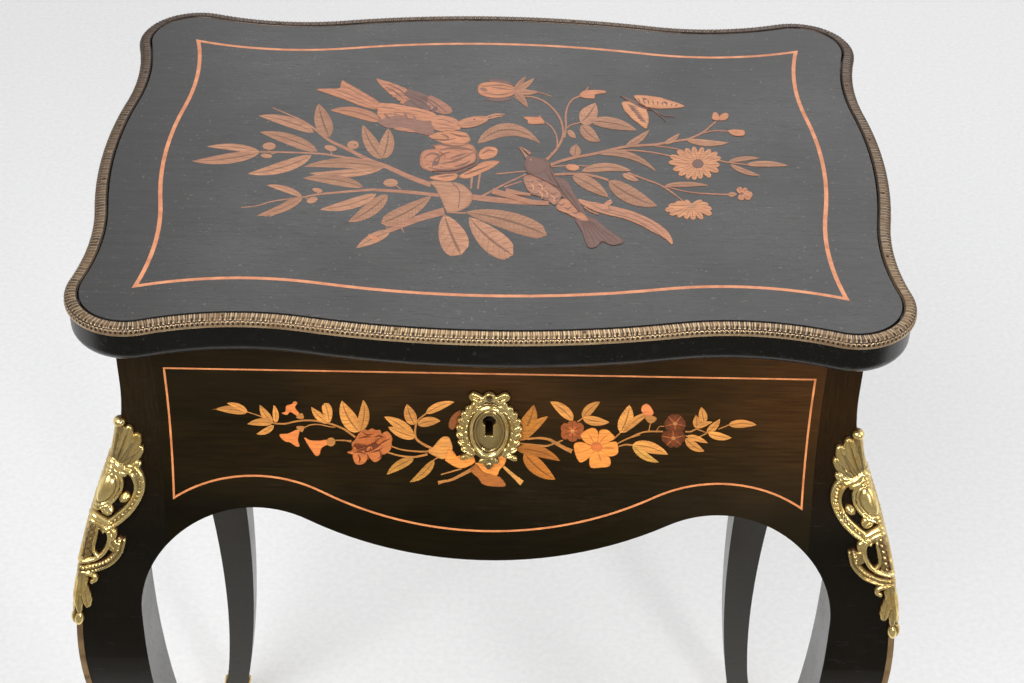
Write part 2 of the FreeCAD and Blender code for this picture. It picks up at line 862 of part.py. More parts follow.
def pointed_outline(inset, level):
    """The inlaid line's edge on the lid: parallel to the long and short sides, with pointed corners."""
    values = outline_values(inset)
    long_hollow, long_bulge = values["long_hollow"], values["long_bulge"]
    short_hollow, short_bulge = values["short_hollow"], values["short_bulge"]
    corner = crossing(long_hollow, short_hollow)
    long_join = meeting(long_bulge, long_hollow)
    short_join = meeting(short_bulge, short_hollow)
    edges = []
    for sign in (-1, 1):
        edges.append(
            arc_through(
                (-long_join[0], sign * long_join[1]),
                (0, sign * (long_bulge[1] + long_bulge[2])),
                (long_join[0], sign * long_join[1]),
                level,
            )
        )
        edges.append(
            arc_through(
                (sign * short_join[0], -short_join[1]),
                (sign * (short_bulge[0] + short_bulge[2]), 0),
                (sign * short_join[0], short_join[1]),
                level,
            )
        )
        for other in (-1, 1):
            flip = (sign, other)
            edges.append(hollow_arc(long_hollow, long_join, corner, flip, level))
            edges.append(hollow_arc(short_hollow, short_join, corner, flip, level))
    return edges


def crossing(first, second):
    """Where the two hollow arcs cross, on the side of the lid's middle."""
    apart = math.hypot(second[0] - first[0], second[1] - first[1])
    along = (first[2] ** 2 - second[2] ** 2 + apart**2) / (2 * apart)
    across = math.sqrt(first[2] ** 2 - along**2)
    step = ((second[0] - first[0]) / apart, (second[1] - first[1]) / apart)
    base = (first[0] + along * step[0], first[1] + along * step[1])
    ends = []
    for sign in (-1, 1):
        ends.append((base[0] - sign * across * step[1], base[1] + sign * across * step[0]))
    return min(ends, key=lambda end: math.hypot(*end))


def arc_through(first, middle, last, level):
    """A level arc through three points."""
    return Part.Arc(*[Vector(x, y, level) for x, y in (first, middle, last)]).toShape()


def hollow_arc(circle, start, end, flip, level):
    """A stretch of a hollow arc between two points, in the quarter that flip names."""
    x, y, radius = circle
    first = math.atan2(start[1] - y, start[0] - x)
    last = math.atan2(end[1] - y, end[0] - x)
    half = (first + last) / 2
    if abs(first - last) > math.pi:
        half += math.pi
    middle = (x + radius * math.cos(half), y + radius * math.sin(half))
    points = [(flip[0] * px, flip[1] * py) for px, py in (start, middle, end)]
    return arc_through(*points, level)


def lid_line():
    """The pale line let into the lid."""
    top = size("table_height")
    inset = size("lid_line_inset")
    outer = pointed_outline(inset, top)
    inner = pointed_outline(inset + size("lid_line_width"), top)
    return extrude("lid_line", ring_face("lid_line_face", outer, inner), Vector(0, 0, -1), "line_depth")


def pin_places():
    """Places of the moulding's pins in the first quarter, one at the middle of each arc."""
    values = outline_values(size("moulding_width") / 2)
    order = ["short_bulge", "short_hollow", "corner", "long_hollow", "long_bulge"]
    joins = [(size("lid_length") / 2, 0)]
    joins += [meeting(values[first], values[second]) for first, second in zip(order, order[1:])]
    joins.append((0, size("lid_depth") / 2))
    places = []
    for key, start, end in zip(order, joins, joins[1:]):
        x, y, radius = values[key]
        first = math.atan2(start[1] - y, start[0] - x)
        last = math.atan2(end[1] - y, end[0] - x)
        if last - first > math.pi:
            last -= 2 * math.pi
        if first - last > math.pi:
            last += 2 * math.pi
        angle = (first + last) / 2
        places.append((x + radius * math.cos(angle), y + radius * math.sin(angle)))
    return places


def moulding_pins():
    """The pins driven down through the moulding all round."""
    pins = []
    for x, y in pin_places():
        for sign_x in (-1, 1):
            for sign_y in (-1, 1):
                pin = doc.addObject("Part::Cylinder", "moulding_pin")
                bind(pin, Radius="moulding_pin_radius")
                bind(pin, Height="moulding_pin_length + moulding_rise + moulding_pin_rise")
                bind(pin, Placement__Base__z="table_height - moulding_pin_length")
                pin.Placement.Base.x = sign_x * x
                pin.Placement.Base.y = sign_y * y
                pins.append(pin)
    return group("moulding_pin_set", pins)


# Hinges, screws and lock


def screw(name, x, y, level, downwards):
    """A countersunk screw with its head flush at one level. Its places are formulas."""
    turn = DOWNWARDS if downwards else UPWARDS
    head = cylinder(name + "_head", "screw_head_radius", "screw_head_depth", (x, y, level), turn)
    shank = cylinder(name + "_shank", "screw_shank_radius", "screw_length", (x, y, level), turn)
    return fuse(name, [head, shank])


def hinge_screws(downwards):
    """Three screws in each leaf of both hinges, on one side of the joint between case and lid."""
    made = []
    for sign in (-1, 1):
        for step in (-1, 0, 1):
            x = "%d * hinge_place + %d * hinge_length / 3" % (sign, step)
            y = "case_depth / 2 - leaf_depth / 2"
            made.append(screw("hinge_screw", x, y, LEVEL_TOP, downwards))
    return made


def case_screws():
    """The screws driven down into the case: six in the hinges, two in the lock's cover plate."""
    made = hinge_screws(True)
    for sign in (-1, 1):
        x = "%d * (cover_length + lock_length) / 4" % sign
        made.append(screw("lock_screw", x, STAPLE_BACK, LEVEL_TOP, True))
    return group("case_screw_set", made)


def lid_screws():
    """The screws driven up into the lid: six in the hinges, two in the link plate."""
    made = hinge_screws(False)
    for sign in (-1, 1):
        x = "%d * (link_length / 2 - 2 * screw_head_radius)" % sign
        made.append(screw("link_screw", x, STAPLE_BACK, LEVEL_TOP, False))
    return group("lid_screw_set", made)


HINGE_AXIS = "(case_depth / 2 + hinge_offset)"
KNUCKLE = "(hinge_length / 3 - knuckle_gap)"


def leaf(name, x_middle, upper):
    """One leaf of a hinge: a plate, and its knuckles on the common axis behind the case."""
    level = LEVEL_TOP if upper else LEVEL_TOP + " - leaf_thickness"
    plate_corner = (x_middle + " - hinge_length / 2", "case_depth / 2 - leaf_depth", level)
    pieces = [box(name + "_plate", ("hinge_length", "leaf_depth", "leaf_thickness"), plate_corner)]
    places = [0] if upper else [-1, 1]
    for place in places:
        start = "%s + %d * (hinge_length + 2 * knuckle_gap) / 3 - %s / 2" % (x_middle, place, KNUCKLE)
        web_corner = (start, "case_depth / 2", level)
        pieces.append(box(name + "_web", (KNUCKLE, "hinge_offset", "leaf_thickness"), web_corner))
        centre = (start, HINGE_AXIS, LEVEL_TOP)
        pieces.append(cylinder(name + "_barrel", "barrel_radius", KNUCKLE, centre, ALONG_X))
    solid = fuse(name + "_blank", pieces)
    bore_start = x_middle + " - hinge_length"
    bore = cylinder(
        name + "_bore",
        "pin_radius + pin_clearance",
        "2 * hinge_length",
        (bore_start, HINGE_AXIS, LEVEL_TOP),
        ALONG_X,
    )
    return cut(name + "_bored", solid, [bore])


def leaf_seat(name, x_middle, upper):
    """The block of wood that a leaf's plate is let into."""
    level = LEVEL_TOP if upper else LEVEL_TOP + " - leaf_thickness"
    corner = (x_middle + " - hinge_length / 2", "case_depth / 2 - leaf_depth", level)
    return box(name, ("hinge_length", "leaf_depth", "leaf_thickness"), corner)


def barrel_groove(name, x_middle):
    """The space for the knuckles in the underside of the lid."""
    lengths = (
        "hinge_length + 4 * knuckle_gap",
        "hinge_offset + barrel_radius + groove_clearance",
        "barrel_radius + groove_clearance",
    )
    corner = (x_middle + " - hinge_length / 2 - 2 * knuckle_gap", "case_depth / 2", LEVEL_TOP)
    return box(name, lengths, corner)


LOCK_BACK = "(0 - case_depth / 2 + wall)"
STAPLE_BACK = "(0 - case_depth / 2 + wall - lock_depth / 2)"
COVER_LEVEL = "(case_top - cover_thickness)"
KEY_LEVEL = "(case_top - keyhole_drop)"
WINDOW_LEVEL = "(case_top - staple_drop + staple_thickness / 2)"


def lock_block(name):
    """The outer block of the lock, which is also the recess cut for it."""
    lengths = ("lock_length", "lock_depth", "lock_height")
    corner = ("0 - lock_length / 2", LOCK_BACK + " - lock_depth", LEVEL_TOP + " - lock_height")
    return box(name, lengths, corner)


def cover_block(name):
    """The cover plate let into the top edge of the front."""
    lengths = ("cover_length", "lock_depth", "cover_thickness")
    corner = ("0 - cover_length / 2", LOCK_BACK + " - lock_depth", COVER_LEVEL)
    return box(name, lengths, corner)


def keyhole(name):
    """The keyhole's shape, carried through the escutcheon, the front and the lock's front plate."""
    start = LOCK_BACK + " - lock_depth + lock_wall"
    deep = "wall + knee_swell"
    top = KEY_LEVEL
    eye = cylinder(name + "_eye", "keyhole_radius", deep, ("0", start, top), FORWARDS)
    lengths = ("keyhole_slot", deep, "keyhole_length - keyhole_radius")
    corner = (
        "0 - keyhole_slot / 2",
        start + " - (%s)" % deep,
        top + " - keyhole_length + keyhole_radius",
    )
    return fuse(name, [eye, box(name + "_slot", lengths, corner)])


def lock_case(hole):
    """The lock's case and cover plate, hollow, with two slots for the staples."""
    outside = fuse("lock_outside", [lock_block("lock_body"), cover_block("lock_cover")])
    lengths = (
        "lock_length - 2 * lock_wall",
        "lock_depth - 2 * lock_wall",
        "lock_height - cover_thickness - lock_wall",
    )
    corner = (
        "0 - lock_length / 2 + lock_wall",
        LOCK_BACK + " - lock_depth + lock_wall",
        LEVEL_TOP + " - lock_height + lock_wall",
    )
    hollow = box("lock_hollow", lengths, corner)
    lengths = (
        "staple_thickness + 2 * staple_clearance",
        "staple_width + 2 * staple_clearance",
        "2 * cover_thickness",
    )
    slots = []
    for sign in (-1, 1):
        corner = (
            "%d * staple_place - staple_thickness / 2 - staple_clearance" % sign,
            STAPLE_BACK + " - staple_width / 2 - staple_clearance",
            LEVEL_TOP + " - 1.5 * cover_thickness",
        )
        slots.append(box("staple_slot", lengths, corner))
    return cut("lock_case_blank", outside, [hollow, *slots, hole])


def link_plate():
    """The plate under the lid with two staples that drop into the lock."""
    corner = ("0 - link_length / 2", STAPLE_BACK + " - link_depth / 2", LEVEL_TOP)
    pieces = [box("link_bar", ("link_length", "link_depth", "link_thickness"), corner)]
    windows = []
    for sign in (-1, 1):
        x = "%d * staple_place - staple_thickness / 2" % sign
        lengths = ("staple_thickness", "staple_width", "staple_drop + link_thickness")
        corner = (x, STAPLE_BACK + " - staple_width / 2", LEVEL_TOP + " - staple_drop")
        pieces.append(box("staple", lengths, corner))
        lengths = ("staple_thickness", "bolt_width + 2 * hook_clearance", "staple_window")
        corner = (x, STAPLE_BACK + " - bolt_width / 2 - hook_clearance", WINDOW_LEVEL)
        windows.append(box("staple_hole", lengths, corner))
    return cut("link_plate_blank", fuse("link_solid", pieces), windows)


def link_seat():
    """The recess for the link plate in the underside of the lid."""
    corner = ("0 - link_length / 2", STAPLE_BACK + " - link_depth / 2", LEVEL_TOP)
    return box("link_seat", ("link_length", "link_depth", "link_thickness"), corner)


def lock_bolt():
    """The sliding bolt: a bar with two hooks whose tips enter the staples."""
    tip_level = WINDOW_LEVEL + " + (staple_window - hook_thickness) / 2"
    bar_top = LEVEL_TOP + " - staple_drop - bolt_clearance"
    back = STAPLE_BACK + " - bolt_width / 2"
    behind = "%d * staple_place - staple_thickness / 2 - hook_clearance - bolt_travel - hook_post"
    lengths = ("2 * staple_place + hook_post", "bolt_width", "bolt_bar")
    pieces = [box("bolt_bar_block", lengths, (behind % -1, back, bar_top + " - bolt_bar"))]
    for sign in (-1, 1):
        lengths = ("hook_post", "bolt_width", "%s + hook_thickness - (%s)" % (tip_level, bar_top))
        pieces.append(box("hook_post_block", lengths, (behind % sign, back, bar_top)))
        lengths = ("hook_post + bolt_travel", "bolt_width", "hook_thickness")
        pieces.append(box("hook_tip", lengths, (behind % sign, back, tip_level)))
    return fuse("bolt_solid", pieces)


# Escutcheon


def oval_bar(name, across, upwards, level, tall):
    """An oval bar along Y at one level, from its half sizes. Tall ovals have their long axis upright."""
    oval = doc.addObject("Part::Ellipse", name)
    long_half, short_half = (upwards, across) if tall else (across, upwards)
    bind(oval, MajorRadius=long_half, MinorRadius=short_half)
    quarter_turn = FreeCAD.Rotation(Vector(0, 0, 1), 90 if tall else 0)
    oval.Placement = FreeCAD.Placement(Vector(), FORWARDS.multiply(quarter_turn))
    bind(oval, Placement__Base__z=level)
    outline = doc.addObject("Part::Face", name + "_face")
    outline.Sources = [oval]
    return extrude(name + "_bar", outline, Vector(0, -1, 0), str(REACH_FAR))


def escutcheon_blank():
    """The gilt oval plate with its bow above and its lug below, bent to the front's curve."""
    middle = "(case_top - plate_drop)"
    oval = oval_bar("plate_oval", "plate_half_width", "plate_half_height", middle, True)
    bow = oval_bar("plate_bow", "bow_half_width", "bow_rise", middle + " + plate_half_height", False)
    lug = oval_bar("plate_lug", "lug_half_width", "lug_drop", middle + " - plate_half_height", True)
    outline = fuse("plate_outline", [oval, bow, lug])
    high = CASE_TOP
    low = CASE_TOP - size("plate_drop") - 2 * size("plate_half_height")
    skin = band_edges(ridge(), ridge(size("plate_thickness")), high, low, seen_from_side)
    layer = extrude("plate_layer", face("plate_skin", skin), Vector(1, 0, 0), INNER_LENGTH, INNER_LENGTH)
    return common("plate_blank", outline, layer)


def escutcheon_pins():
    """Two pins that hold the plate, one in the bow and one in the lug."""
    made = []
    root = size("plate_thickness") + size("pin_depth")
    for sign, away in ((1, "bow_rise / 2"), (-1, "lug_drop / 2")):
        level = CASE_TOP - size("plate_drop") + sign * size("plate_half_height")
        out = out_at(ridge(size("plate_thickness")), level)
        pin = doc.addObject("Part::Cylinder", "plate_pin")
        bind(pin, Radius="nail_radius", Height="plate_thickness + pin_depth + nail_rise")
        pin.Placement = FreeCAD.Placement(Vector(0, -HALF_DEPTH - out + root, level), FORWARDS)
        place = "case_top - plate_drop + %d * (plate_half_height + %s)"
        bind(pin, Placement__Base__z=place % (sign, away))
        made.append(pin)
    return group("plate_pin_set", made)


# Boards of the floor, the tray and the mirror


def boards():
    """The case's floor, the glue blocks under its corners and the two runners that carry the tray."""
    floor_sizes = ("2 * " + INNER_LENGTH, "2 * " + INNER_DEPTH, "floor_thickness")
    floor_corner = ("0 - " + INNER_LENGTH, "0 - " + INNER_DEPTH, "case_top - floor_drop")
    keep(box("case_floor_board", floor_sizes, floor_corner), "case_floor")
    blocks = []
    for sign_x in (0, 1):
        for sign_y in (0, 1):
            corner = (
                "0 - %s + %d * (2 * %s - block_size)" % (INNER_LENGTH, sign_x, INNER_LENGTH),
                "0 - %s + %d * (2 * %s - block_size)" % (INNER_DEPTH, sign_y, INNER_DEPTH),
                "case_top - floor_drop - block_height",
            )
            blocks.append(box("glue_block", ("block_size", "block_size", "block_height"), corner))
    keep(group("glue_block_set", blocks), "glue_blocks")
    level = "case_top - tray_drop - tray_height - runner_height"
    sizes = ("runner_width", "2 * " + INNER_DEPTH, "runner_height")
    left = ("0 - " + INNER_LENGTH, "0 - " + INNER_DEPTH, level)
    right = (INNER_LENGTH + " - runner_width", "0 - " + INNER_DEPTH, level)
    runners = [box("runner_left", sizes, left), box("runner_right", sizes, right)]
    keep(group("runner_set", runners), "tray_runners")


TRAY_LENGTH = "(case_length / 2 - wall - tray_gap)"
TRAY_DEPTH = "(case_depth / 2 - wall - tray_gap)"


def tray():
    """The lift-out tray: a floor, four walls, two dividers and two cross pieces."""
    base = "case_top - tray_drop - tray_height"
    sizes = ("2 * " + TRAY_LENGTH, "2 * " + TRAY_DEPTH, "tray_floor_thickness")
    keep(box("tray_base", sizes, ("0 - " + TRAY_LENGTH, "0 - " + TRAY_DEPTH, base)), "tray_floor")
    level = base + " + tray_floor_thickness"
    height = "tray_height - tray_floor_thickness"
    long_sizes = ("2 * " + TRAY_LENGTH, "tray_wall", height)
    keep(box("tray_front", long_sizes, ("0 - " + TRAY_LENGTH, "0 - " + TRAY_DEPTH, level)), "tray_wall_front")
    back = ("0 - " + TRAY_LENGTH, TRAY_DEPTH + " - tray_wall", level)
    keep(box("tray_back", long_sizes, back), "tray_wall_back")
    inside = "(case_depth / 2 - wall - tray_gap - tray_wall)"
    short_sizes = ("tray_wall", "2 * " + inside, height)
    keep(box("tray_left", short_sizes, ("0 - " + TRAY_LENGTH, "0 - " + inside, level)), "tray_wall_left")
    right = (TRAY_LENGTH + " - tray_wall", "0 - " + inside, level)
    keep(box("tray_right", short_sizes, right), "tray_wall_right")
    cross_pieces = []
    for side, sign in (("left", -1), ("right", 1)):
        corner = ("%d * divider_place - tray_wall / 2" % sign, "0 - " + inside, level)
        keep(box("divider_" + side, short_sizes, corner), "tray_divider_" + side)
        room = "(case_length / 2 - wall - tray_gap - tray_wall - divider_place - tray_wall / 2)"
        start = "0 - divider_place - tray_wall / 2 - " + room if sign < 0 else "divider_place + tray_wall / 2"
        corner = (start, "0 - tray_wall / 2", level)
        cross_pieces.append(box("cross_" + side, (room, "tray_wall", height), corner))
    keep(group("cross_piece_set", cross_pieces), "tray_cross_pieces")


def mirror_parts():
    """The glass let into the underside of the lid, and the four strips that hold it."""
    glass_corner = ("0 - glass_length / 2", "0 - glass_depth / 2", LEVEL_TOP)
    glass = box("glass", ("glass_length", "glass_depth", "glass_thickness"), glass_corner)
    level = LEVEL_TOP + " - frame_thickness"
    half_length = "(glass_length / 2 - frame_lap + frame_width)"
    half_depth = "(glass_depth / 2 - frame_lap)"
    long_sizes = ("2 * " + half_length, "frame_width", "frame_thickness")
    short_sizes = ("frame_width", "2 * " + half_depth, "frame_thickness")
    front = ("0 - " + half_length, "0 - %s - frame_width" % half_depth, level)
    back = ("0 - " + half_length, half_depth, level)
    left = ("0 - " + half_length, "0 - " + half_depth, level)
    right = (half_length + " - frame_width", "0 - " + half_depth, level)
    keep(box("frame_front", long_sizes, front), "mirror_frame_front")
    keep(box("frame_back", long_sizes, back), "mirror_frame_back")
    keep(box("frame_left", short_sizes, left), "mirror_frame_left")
    keep(box("frame_right", short_sizes, right), "mirror_frame_right")
    return glass


def build_legs():
    """Four legs with their knee mounts, brass strips, nails and foot mounts."""
    blank = leg_blank()
    strip = edge_strip()
    nail_row = nails()
    leg = cut("leg", blank, [strip, nail_row])
    for corner, piece in four_corners("%s_leg", leg).items():
        keep(piece, corner + "_leg")
    for corner, piece in four_corners("leg_strip_%s", cut("strip", strip, [nail_row])).items():
        keep(piece, "leg_strip_" + corner)
    for corner, piece in four_corners("knee_mount_%s", knee_mount()).items():
        keep(piece, "knee_mount_" + corner)
    for corner, piece in four_corners("sabot_%s", sabot(blank)).items():
        keep(piece, "sabot_" + corner)
    rows = four_corners("nails_%s", nail_row)
    keep(group("nail_rows", list(rows.values())), "strip_nails")


def build_walls(screws):
    """Three walls, their inlaid lines, the escutcheon and the lock. Returns the back wall's blank."""
    front_blank = wall_blank("front_blank", False)
    side_blank = wall_blank("side_blank", True)
    front_line = wall_line("front_line", False)
    side_line = wall_line("side_line", True)
    hole = keyhole("keyhole")
    pins = escutcheon_pins()
    recess = [lock_block("lock_recess"), cover_block("cover_recess")]
    keep(cut("front_wall", front_blank, [front_line, hole, pins, screws, *recess]), "front_panel")
    keep(front_line, "front_inlay_line")
    keep(cut("right_wall", side_blank, [side_line]), "right_panel")
    keep(side_line, "right_inlay_line")
    keep(mirror("left_wall", nodes[-2], Vector(1, 0, 0)), "left_panel")
    keep(mirror("left_line", side_line, Vector(1, 0, 0)), "left_inlay_line")
    plate = cut("plate", escutcheon_blank(), [hole, pins])
    keep(plate, "escutcheon")
    keep(pins, "escutcheon_pins")
    keep(cut("lock", lock_case(hole), [screws]), "lock_case")
    start = LOCK_BACK + " - lock_wall"
    drill = cylinder("drill_pin", "drill_pin_radius", "lock_depth", ("0", start, KEY_LEVEL), FORWARDS)
    keep(drill, "lock_pin")
    keep(lock_bolt(), "lock_bolt")
    return mirror("back_blank", front_blank, Vector(0, 1, 0))


def build_hinges(screws_down, screws_up):
    """Two butt hinges. Returns the seats that the wood of the case and of the lid is cut for."""
    case_seats, lid_seats, hinge_pins = [], [], []
    for side, sign in (("left", -1), ("right", 1)):
        x = "%d * hinge_place" % sign
        case_seats.append(leaf_seat("case_seat_" + side, x, False))
        lid_seats += [leaf_seat("lid_seat_" + side, x, True), barrel_groove("groove_" + side, x)]
        lower = leaf("case_leaf_%s_base" % side, x, False)
        upper = leaf("lid_leaf_%s_base" % side, x, True)
        keep(cut("case_leaf_" + side, lower, [screws_down]), "hinge_case_leaf_" + side)
        keep(cut("lid_leaf_" + side, upper, [screws_up]), "hinge_lid_leaf_" + side)
        start = (x + " - hinge_length / 2", HINGE_AXIS, LEVEL_TOP)
        hinge_pins.append(cylinder("hinge_pin", "pin_radius", "hinge_length", start, ALONG_X))
    keep(group("hinge_pin_set", hinge_pins), "hinge_pins")
    return case_seats, lid_seats


def build_lid(seats, screws):
    """The lid with its brass, its inlaid line, its mirror and its link plate."""
    line_ring = lid_line()
    pins = moulding_pins()
    glass = mirror_parts()
    tools = [line_ring, pins, glass, link_seat(), screws, *seats]
    keep(cut("lid", lid_slab(), tools), "lid_panel")
    keep(line_ring, "lid_inlay_line")
    keep(glass, "mirror_glass")
    keep(cut("link", link_plate(), [screws]), "lock_link_plate")
    quarter = moulding_quarter()
    for corner, piece in four_corners("moulding_%s", quarter).items():
        keep(cut("moulding_cut_" + corner, piece, [pins]), "lid_moulding_" + corner)
    keep(pins, "moulding_pins")


def check(item):
    """Stop if an object has failed or a piece's shape is empty or broken."""
    if "Invalid" in item.State or "Error" in item.State:
        raise RuntimeError("%s (%s) failed: %s" % (item.Name, item.Label, item.State))


def write():
    """Write each piece to its own file."""
    os.makedirs("parts", exist_ok=True)
    for item in nodes:
        shape = item.Shape
        if shape.isNull() or not shape.isValid() or not shape.Solids:
            raise RuntimeError("%s has no valid shape" % item.Label)
        shape.exportStep("parts/%s.step" % item.Label)
        print("%-28s solids %2d  volume %12.1f" % (item.Label, len(shape.Solids), shape.Volume))


def main():
    screws_down = keep(case_screws(), "case_screws")
    screws_up = keep(lid_screws(), "lid_screws")
    build_legs()
    back_blank = build_walls(screws_down)
    boards()
    tray()
    case_seats, lid_seats = build_hinges(screws_down, screws_up)
    keep(cut("back_wall", back_blank, [screws_down, *case_seats]), "back_panel")
    build_lid(lid_seats, screws_up)
    doc.recompute()
    for item in doc.Objects:
        check(item)
    write()
    print(len(nodes), "pieces")


main()
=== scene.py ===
"""The looks of a scalloped, ebonised dressing table with marquetry and gilt mounts.

Lengths are in millimetres in the table's own frame until place_mesh turns them into metres.
"""

import bpy
import numpy as np
from mathutils import Matrix


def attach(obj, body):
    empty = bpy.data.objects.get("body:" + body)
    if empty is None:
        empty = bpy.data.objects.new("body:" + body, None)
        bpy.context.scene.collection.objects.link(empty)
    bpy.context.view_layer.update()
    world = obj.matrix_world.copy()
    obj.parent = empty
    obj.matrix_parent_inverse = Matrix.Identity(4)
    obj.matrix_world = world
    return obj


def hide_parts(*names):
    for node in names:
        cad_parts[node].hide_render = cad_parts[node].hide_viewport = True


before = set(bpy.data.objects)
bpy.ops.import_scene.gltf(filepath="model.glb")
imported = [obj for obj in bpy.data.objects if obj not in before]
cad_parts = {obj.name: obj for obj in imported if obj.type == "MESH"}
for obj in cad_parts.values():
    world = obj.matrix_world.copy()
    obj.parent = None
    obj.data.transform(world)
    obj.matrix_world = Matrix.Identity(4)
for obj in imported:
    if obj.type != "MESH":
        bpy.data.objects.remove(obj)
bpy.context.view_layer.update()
MM = 0.001

# The case, the lid and the tray's floor, as the source gives them
LID_TOP = 740.0
CASE_TOP = 713.0
HALF_LENGTH = 221.5
HALF_DEPTH = 154.5
LID_HALF_LENGTH = 250.0
LID_HALF_DEPTH = 183.0
WALL = 21.5
TRAY_FLOOR_TOP = CASE_TOP - 9 - 40 + 5
NEAR = 0.1


# Curves of the case


def s_curve(high, low, out_high, out_low, first_radius):
    """Two tangent arcs between two levels, upright at both ends, as (top, out, level, radius, side)."""
    step = out_low - out_high
    side = -1 if step > 0 else 1
    total = ((high - low) ** 2 + step**2) / (2 * abs(step))
    second = total - first_radius
    middle = high + (low - high) * first_radius / total
    return [
        (high, out_high - side * first_radius, high, first_radius, side),
        (middle, out_low + side * second, low, second, -side),
    ]


def foot_arc(level, out, out_at_floor):
    """The arc that leaves a level upright and swells out to the floor."""
    step = out_at_floor - out
    radius = (level**2 + step**2) / (2 * step)
    return [(level, out + radius, level, radius, -1)]


RIDGE = s_curve(678, 478, 0, 40, 200) + s_curve(478, 195, 40, 8, 350) + foot_arc(195, 8, 29)
INNER = s_curve(505, 250, -3, -17.5, 1150) + foot_arc(250, -17.5, 11)


def out_at(chain, level):
    """How far out the arcs are: a centre plus or minus the root of radius squared less height squared."""
    level = np.asarray(level, float)
    out = np.zeros(level.shape)
    for high, centre, middle, radius, side in chain:
        bow = np.sqrt(np.maximum(radius**2 - (level - middle) ** 2, 0))
        out = np.where(level <= high, centre + side * bow, out)
    return out


def swell(level):
    """How far the walls and the legs' outer edges stand out at a level."""
    return out_at(RIDGE, level)


# The camera of the photograph, and what its pixels meet

EYE = np.array([6.28, -1043.13, 1436.23])
AHEAD = np.array([0.00562, 0.77639, -0.63022])
RIGHT = np.array([0.99983, 0.00686, 0.01737])
UP = np.array([-0.01782, 0.63021, 0.77622])
FOCUS = 1950.0
FRAME_MIDDLE = np.array([512.0, 341.5])
FRAME_WIDTH = 1024.0
SENSOR = 36.0


def rays(pixels):
    """The direction through each pixel: ahead, plus right and down in proportion to its place."""
    across = (np.asarray(pixels, float) - FRAME_MIDDLE) / FOCUS
    return AHEAD + across[..., :1] * RIGHT - across[..., 1:] * UP


def on_lid(pixels):
    """Where the rays through pixels meet the lid's top, as x and y."""
    ray = rays(pixels)
    return EYE[:2] + ray[..., :2] * ((LID_TOP - EYE[2]) / ray[..., 2:])


def on_front(pixels):
    """Where the rays through pixels meet the swelling front, as x and level, by a few equal steps."""
    ray = rays(pixels)
    front = np.full(ray.shape[:-1], -HALF_DEPTH)
    for _ in range(25):
        met = EYE + ray * ((front - EYE[1]) / ray[..., 1])[..., None]
        front = (front - HALF_DEPTH - swell(met[..., 2])) / 2
    return met[..., ::2]


# Meshes


def grid_faces(rows, columns, ring=False):
    """Four-cornered faces of a grid of points, row by row. A ring joins the last row to the first."""
    index = np.arange(rows * columns).reshape(rows, columns)
    if ring:
        index = np.vstack([index, index[:1]])
    corners = [index[:-1, :-1], index[1:, :-1], index[1:, 1:], index[:-1, 1:]]
    return np.stack(corners, axis=-1).reshape(-1, 4)


def place_mesh(name, points, faces, body, material, tint, chart=None, smooth=True):
    """A piece from points in millimetres and faces by index. Tint and chart are given per point."""
    mesh = bpy.data.meshes.new(name)
    mesh.from_pydata((points * MM).tolist(), [], faces)
    corners = np.empty(len(mesh.loops), np.int32)
    mesh.loops.foreach_get("vertex_index", corners)
    if chart is not None:
        layer = mesh.uv_layers.new(name="UVMap")
        layer.data.foreach_set("uv", chart[corners].astype(np.float32).ravel())
    layer = mesh.attributes.new("tint", "FLOAT_COLOR", "POINT")
    layer.data.foreach_set("color", tint.astype(np.float32).ravel())
    mesh.polygons.foreach_set("use_smooth", np.full(len(mesh.polygons), smooth))
    mesh.materials.append(material)
    mesh.update()
    piece = bpy.data.objects.new(name, mesh)
    bpy.context.collection.objects.link(piece)
    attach(piece, body)
    return piece


def thicken(piece, thickness):
    """Give a sheet its thickness in millimetres, inwards."""
    skin = piece.modifiers.new("sheet", "SOLIDIFY")
    skin.thickness = thickness * MM
    skin.offset = -1.0


# Materials


